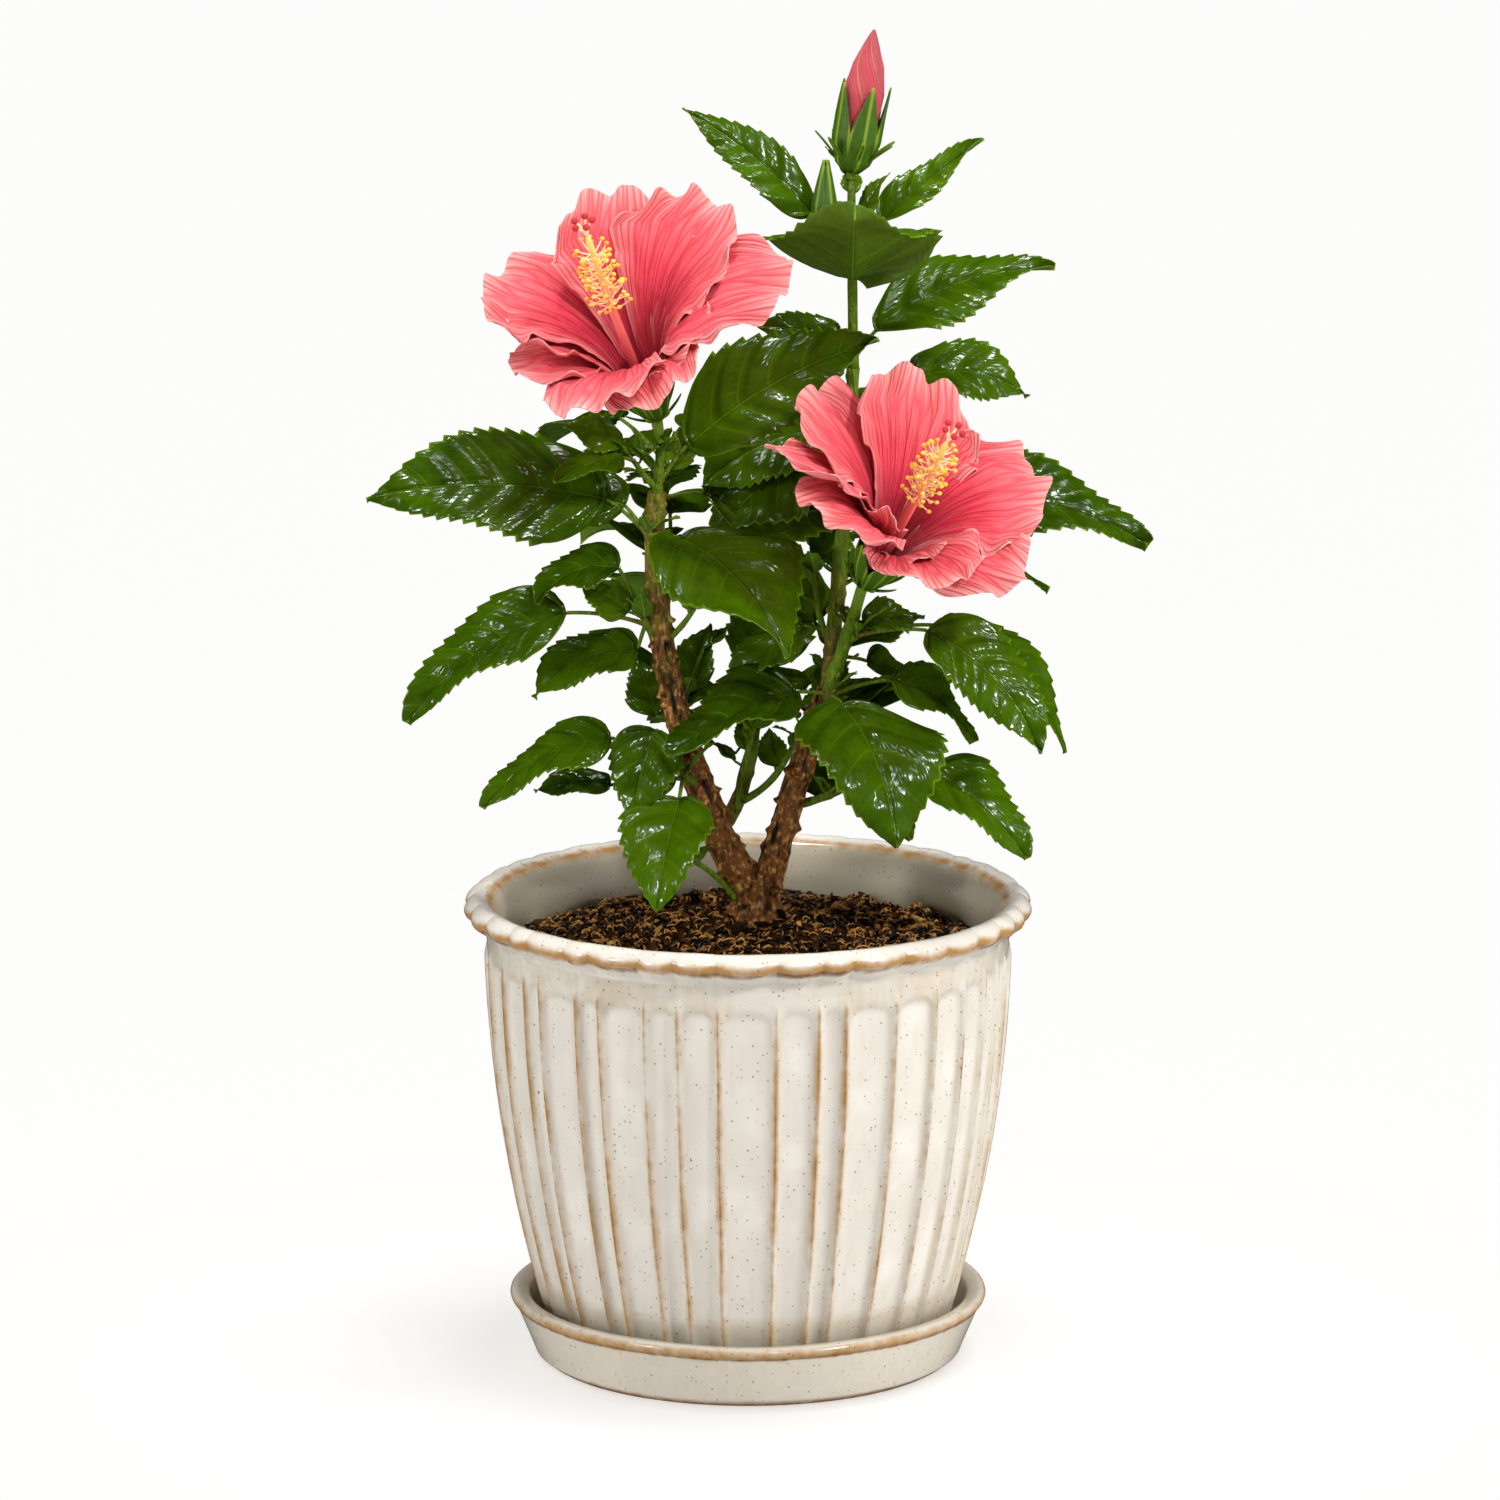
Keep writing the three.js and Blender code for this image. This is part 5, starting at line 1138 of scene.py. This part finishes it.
def coralPetal():
    # petal: thin and matt with a silky sheen, coral with a crimson throat, darker veins fanning outward
    look = {"throat": "#BC0A3A", "deep": "#D81C40", "coral": "#FA505C", "light": "#FF8482", "edge": "#FFBDB4",
            "vein": "#BE1230", "roughness": 0.55, "sheen": 0.08}
    material, tree, shader, place, s, q, rim = newMaterial("coralPetal", "s", "q", "rim")
    mottle = addNode(tree, "TexNoise", {"Vector": place, "Scale": 130, "Detail": 3})
    waved = addNode(tree, "Math", {0: mottle, 1: 0.14, 2: s}, operation="MULTIPLY_ADD")
    colour = linear(look["throat"])
    for name, low, high, most in (("deep", 0.34, 0.66, 1.0), ("coral", 0.5, 0.9, 1.0),
                                  ("light", 0.72, 1.06, 0.7)):
        share = addNode(tree, "MapRange", {0: waved, 1: low, 2: high, 4: most})
        colour = addNode(tree, "Mix", {0: share, 6: colour, 7: linear(look[name])}, 2, data_type="RGBA")
    # veins: a tenth of the half width apart and finer ones between them, all forking as the petal widens
    lines = 0.0
    for number, reach, width, strength in ((10.0, 2.0, 0.17, 1.0), (24.0, 3.4, 0.2, 0.5)):
        fanX = addNode(tree, "Math", {0: q, 1: number}, operation="MULTIPLY")
        fanY = addNode(tree, "Math", {0: s, 1: reach}, operation="MULTIPLY")
        forks = addNode(tree, "CombineXYZ", {0: fanX, 1: fanY})
        forks = addNode(tree, "TexVoronoi", {"Vector": forks, "Scale": 1.0}, feature="DISTANCE_TO_EDGE")
        line = addNode(tree, "MapRange", {0: forks, 1: width, 2: 0.0, 4: strength})
        lines = addNode(tree, "Math", {0: lines, 1: line}, operation="MAXIMUM")
    fading = addNode(tree, "MapRange", {0: s, 1: 0.35, 2: 1.0, 3: 0.95, 4: 0.62})
    veins = addNode(tree, "Math", {0: lines, 1: fading}, operation="MULTIPLY")
    pale = addNode(tree, "Math", {0: rim, 1: 0.75}, operation="MULTIPLY")
    for share, name in ((pale, "edge"), (veins, "vein")):
        colour = addNode(tree, "Mix", {0: share, 6: colour, 7: linear(look[name])}, 2, data_type="RGBA")
    bump = addNode(tree, "Bump", {"Height": lines, "Strength": 0.8, "Distance": 0.0008}, invert=True)
    feed(tree, shader, {"Base Color": colour, "Roughness": look["roughness"], "Sheen Weight": look["sheen"],
                        "Normal": bump})
    return material


def flowerColumn():
    # the stamens' column: fleshy, crimson at its foot, coral, then yellow at its tip, with pale filaments
    look = {"foot": "#A01030", "coral": "#F07A72", "tip": "#F6C66A", "filament": "#F8D9A8", "roughness": 0.5}
    material, tree, shader, _, tint, thread = newMaterial("flowerColumn", "tint", "thread")
    low = addNode(tree, "MapRange", {0: tint, 1: 0.22, 2: 0.5})
    high = addNode(tree, "MapRange", {0: tint, 1: 0.55, 2: 0.95})
    colour = linear(look["foot"])
    for share, name in ((low, "coral"), (high, "tip"), (thread, "filament")):
        colour = addNode(tree, "Mix", {0: share, 6: colour, 7: linear(look[name])}, 2, data_type="RGBA")
    feed(tree, shader, {"Base Color": colour, "Roughness": look["roughness"]})
    return material


def pollen(name, dark, light, roughness):
    # powdery pollen sacs and velvety stigmas: two colours by each one's own shade
    material, tree, shader, place, shade = newMaterial(name, "shade")
    powder = addNode(tree, "TexNoise", {"Vector": place, "Scale": 2200, "Detail": 2})
    share = addNode(tree, "Math", {0: powder, 1: 0.5, 2: shade}, operation="MULTIPLY_ADD")
    share = addNode(tree, "MapRange", {0: share, 1: 0.2, 2: 1.2})
    colour = addNode(tree, "Mix", {0: share, 6: linear(dark), 7: linear(light)}, 2, data_type="RGBA")
    bump = addNode(tree, "Bump", {"Height": powder, "Strength": 0.6, "Distance": 0.0003})
    feed(tree, shader, {"Base Color": colour, "Roughness": roughness, "Normal": bump})
    return material


def greenSepal():
    # sepals and bracts: soft green with pale ribs
    look = {"green": "#4E7408", "pale": "#8AA424", "dark": "#304E06", "roughness": 0.5}
    material, tree, shader, place, shade, rib = newMaterial("greenSepal", "shade", "rib")
    mottle = addNode(tree, "TexNoise", {"Vector": place, "Scale": 300, "Detail": 3})
    tone = addNode(tree, "Math", {0: mottle, 1: 0.6, 2: shade}, operation="MULTIPLY_ADD")
    tone = addNode(tree, "MapRange", {0: tone, 1: 0.45, 2: 1.2})
    ribs = addNode(tree, "Math", {0: rib, 1: 1.9}, operation="MULTIPLY")
    ribs = addNode(tree, "Math", {0: ribs}, operation="COSINE")
    ribs = addNode(tree, "MapRange", {0: ribs, 1: 0.55, 2: 1.0, 4: 0.7})
    colour = linear(look["dark"])
    for share, name in ((tone, "green"), (ribs, "pale")):
        colour = addNode(tree, "Mix", {0: share, 6: colour, 7: linear(look[name])}, 2, data_type="RGBA")
    bump = addNode(tree, "Bump", {"Height": ribs, "Strength": 0.4, "Distance": 0.0003})
    feed(tree, shader, {"Base Color": colour, "Roughness": look["roughness"], "Normal": bump})
    return material


# Assembly

pieceLimit = 190000  # triangles in one leaf piece


def leavesOf(stem, limbMarks, taken, chance):
    # each leaf of a spray with its tone: those in its rows, those dealt by seed, and young ones at its tip
    leaves, tone = stem["leaves"], leafTone["front"]
    if "fill" in stem:
        leaves = leaves + fillLeaves(dict(zip(fillKeys, stem["fill"])), stem, limbMarks, taken)
        tone = leafTone["back"]
    for leaf in leaves:
        yield leaf, tone + (leafTone["small"] if leaf["long"] < leafTone["smallUnder"] else 0)
    for k in range(young["count"]):
        size = young["long"][0] + (young["long"][1] - young["long"][0]) * chance.rand()
        turn = 360 * chance.rand()
        yield {"at": 1 - young["apart"] * k, "to": turn, "stalkTo": turn,
               "stalk": young["stalk"][0] + young["stalk"][1] * chance.rand(), "lift": young["lift"],
               "long": size, "wide": size * young["slender"],
               "pitch": young["pitch"][0] + young["pitch"][1] * chance.rand(), "bend": young["bend"],
               "roll": 0}, leafTone["young"]


buildStudio()
print("studio built")

glaze = glazedStoneware()
buildPiece("glazedPot", [potChunk()], glaze, ["pot"])
buildPiece("glazedSaucer", [saucerChunk()], glaze, ["saucer"])
buildPiece("soilAndBark", soilChunks(), barkCoir(), ["soil"])

barkMaterial = hibiscusBark()
woody = ["trunk", "bough_left", "bough_right", "bough_middle", "leader"]
buildPiece("barkLimbs", [limbChunk(name, 40 + k) for k, name in enumerate(woody)], barkMaterial,
           woody)
buildPiece("greenShoot", [limbChunk("shoot_right", 50)], barkMaterial, ["shoot_right"])

leafMaterial = waxyLeaf()
stems = [dict(zip(sprayKeys, row)) for row in sprays]
for stem in stems:
    stem["start"] = onLimb(limbs[stem["limb"]], stem["along"])
    stem["bow"] = (0, 0, 0)
stems += [dict(zip(sproutKeys, row)) for row in sprouts]
for stem in stems:
    stem["leaves"] = [dict(zip(leafKeys, row)) for row in stem["leaves"]]
limbMarks = np.concatenate([onLimb(limb, np.linspace(0, 1, 16)) for limb in limbs.values()])
taken = [np.concatenate([bladeMarks(stem, leaf) for stem in stems for leaf in stem["leaves"]])]
chance = np.random.RandomState(3)
twigs, groups, count = [], [([], set())], 0
for stem in stems:
    twigs.append(stemChunk(stem))
    grown = []
    for leaf, tone in leavesOf(stem, limbMarks, taken, chance):
        grown.append(leafChunk(stem, leaf, chance, tone))
        twigs.append(stalkChunk(stem, leaf))
    size = sum((faces.shape[1] - 2) * len(faces) for part in grown for faces in part["faces"])
    if count + size > pieceLimit:
        groups.append(([], set()))
        count = 0
    count += size
    groups[-1][0].extend(grown)
    groups[-1][1].add(stem["name"])
for k, (parts, names) in enumerate(groups):
    leafPiece = buildPiece("leaves_%d" % (k + 1), parts, leafMaterial, sorted(names))
    foliage.objects.link(leafPiece)
buildPiece("twigs", twigs, barkMaterial, sorted({stem["name"] for stem in stems}))

petalMaterial = coralPetal()
columns, anthers, stigmas, sepals = [], [], [], []
for n, (name, bloom) in enumerate(blooms.items()):
    place = frameOf(bloom["base"], bloom["axis"])
    petals = [petalChunk(place, row, 60 + 10 * n + k) for k, row in enumerate(bloom["petals"])]
    petals += [petalChunk(place, row, 90 + 10 * n + k) for k, row in enumerate(bloom["collar"])]
    buildPiece(name + "_petals", petals, petalMaterial, [name])
    stem, sacs, heads = columnChunks(place, bloom["column"], np.random.RandomState(70 + n))
    columns += stem
    anthers += sacs
    stigmas += heads
    sepals += calyxChunks(place)
    sepals.append(greenStalk(np.array(bloom["stalk"]), place[0] + 2 * place[1], (1.8, 2.4), 12, 0.7))
bothBlooms = list(blooms)
buildPiece("columns", columns, flowerColumn(), bothBlooms)
buildPiece("anthers", anthers, pollen("pollenSacs", "#E39A22", "#F7D25C", 0.8), bothBlooms)
buildPiece("stigmas", stigmas, pollen("redStigma", "#8E0F1E", "#D8323C", 0.6), bothBlooms)
budBody, budGreen = budChunks()
buildPiece("budPetals", budBody, petalMaterial, ["bud_top"])
sideStem = next(stem for stem in stems if stem["name"] == sideBud["spray"])
buildPiece("sepals", sepals + budGreen + sideBudChunks(sideStem), greenSepal(),
           bothBlooms + ["bud_top", sideBud["spray"]])
print("blooms and bud built")
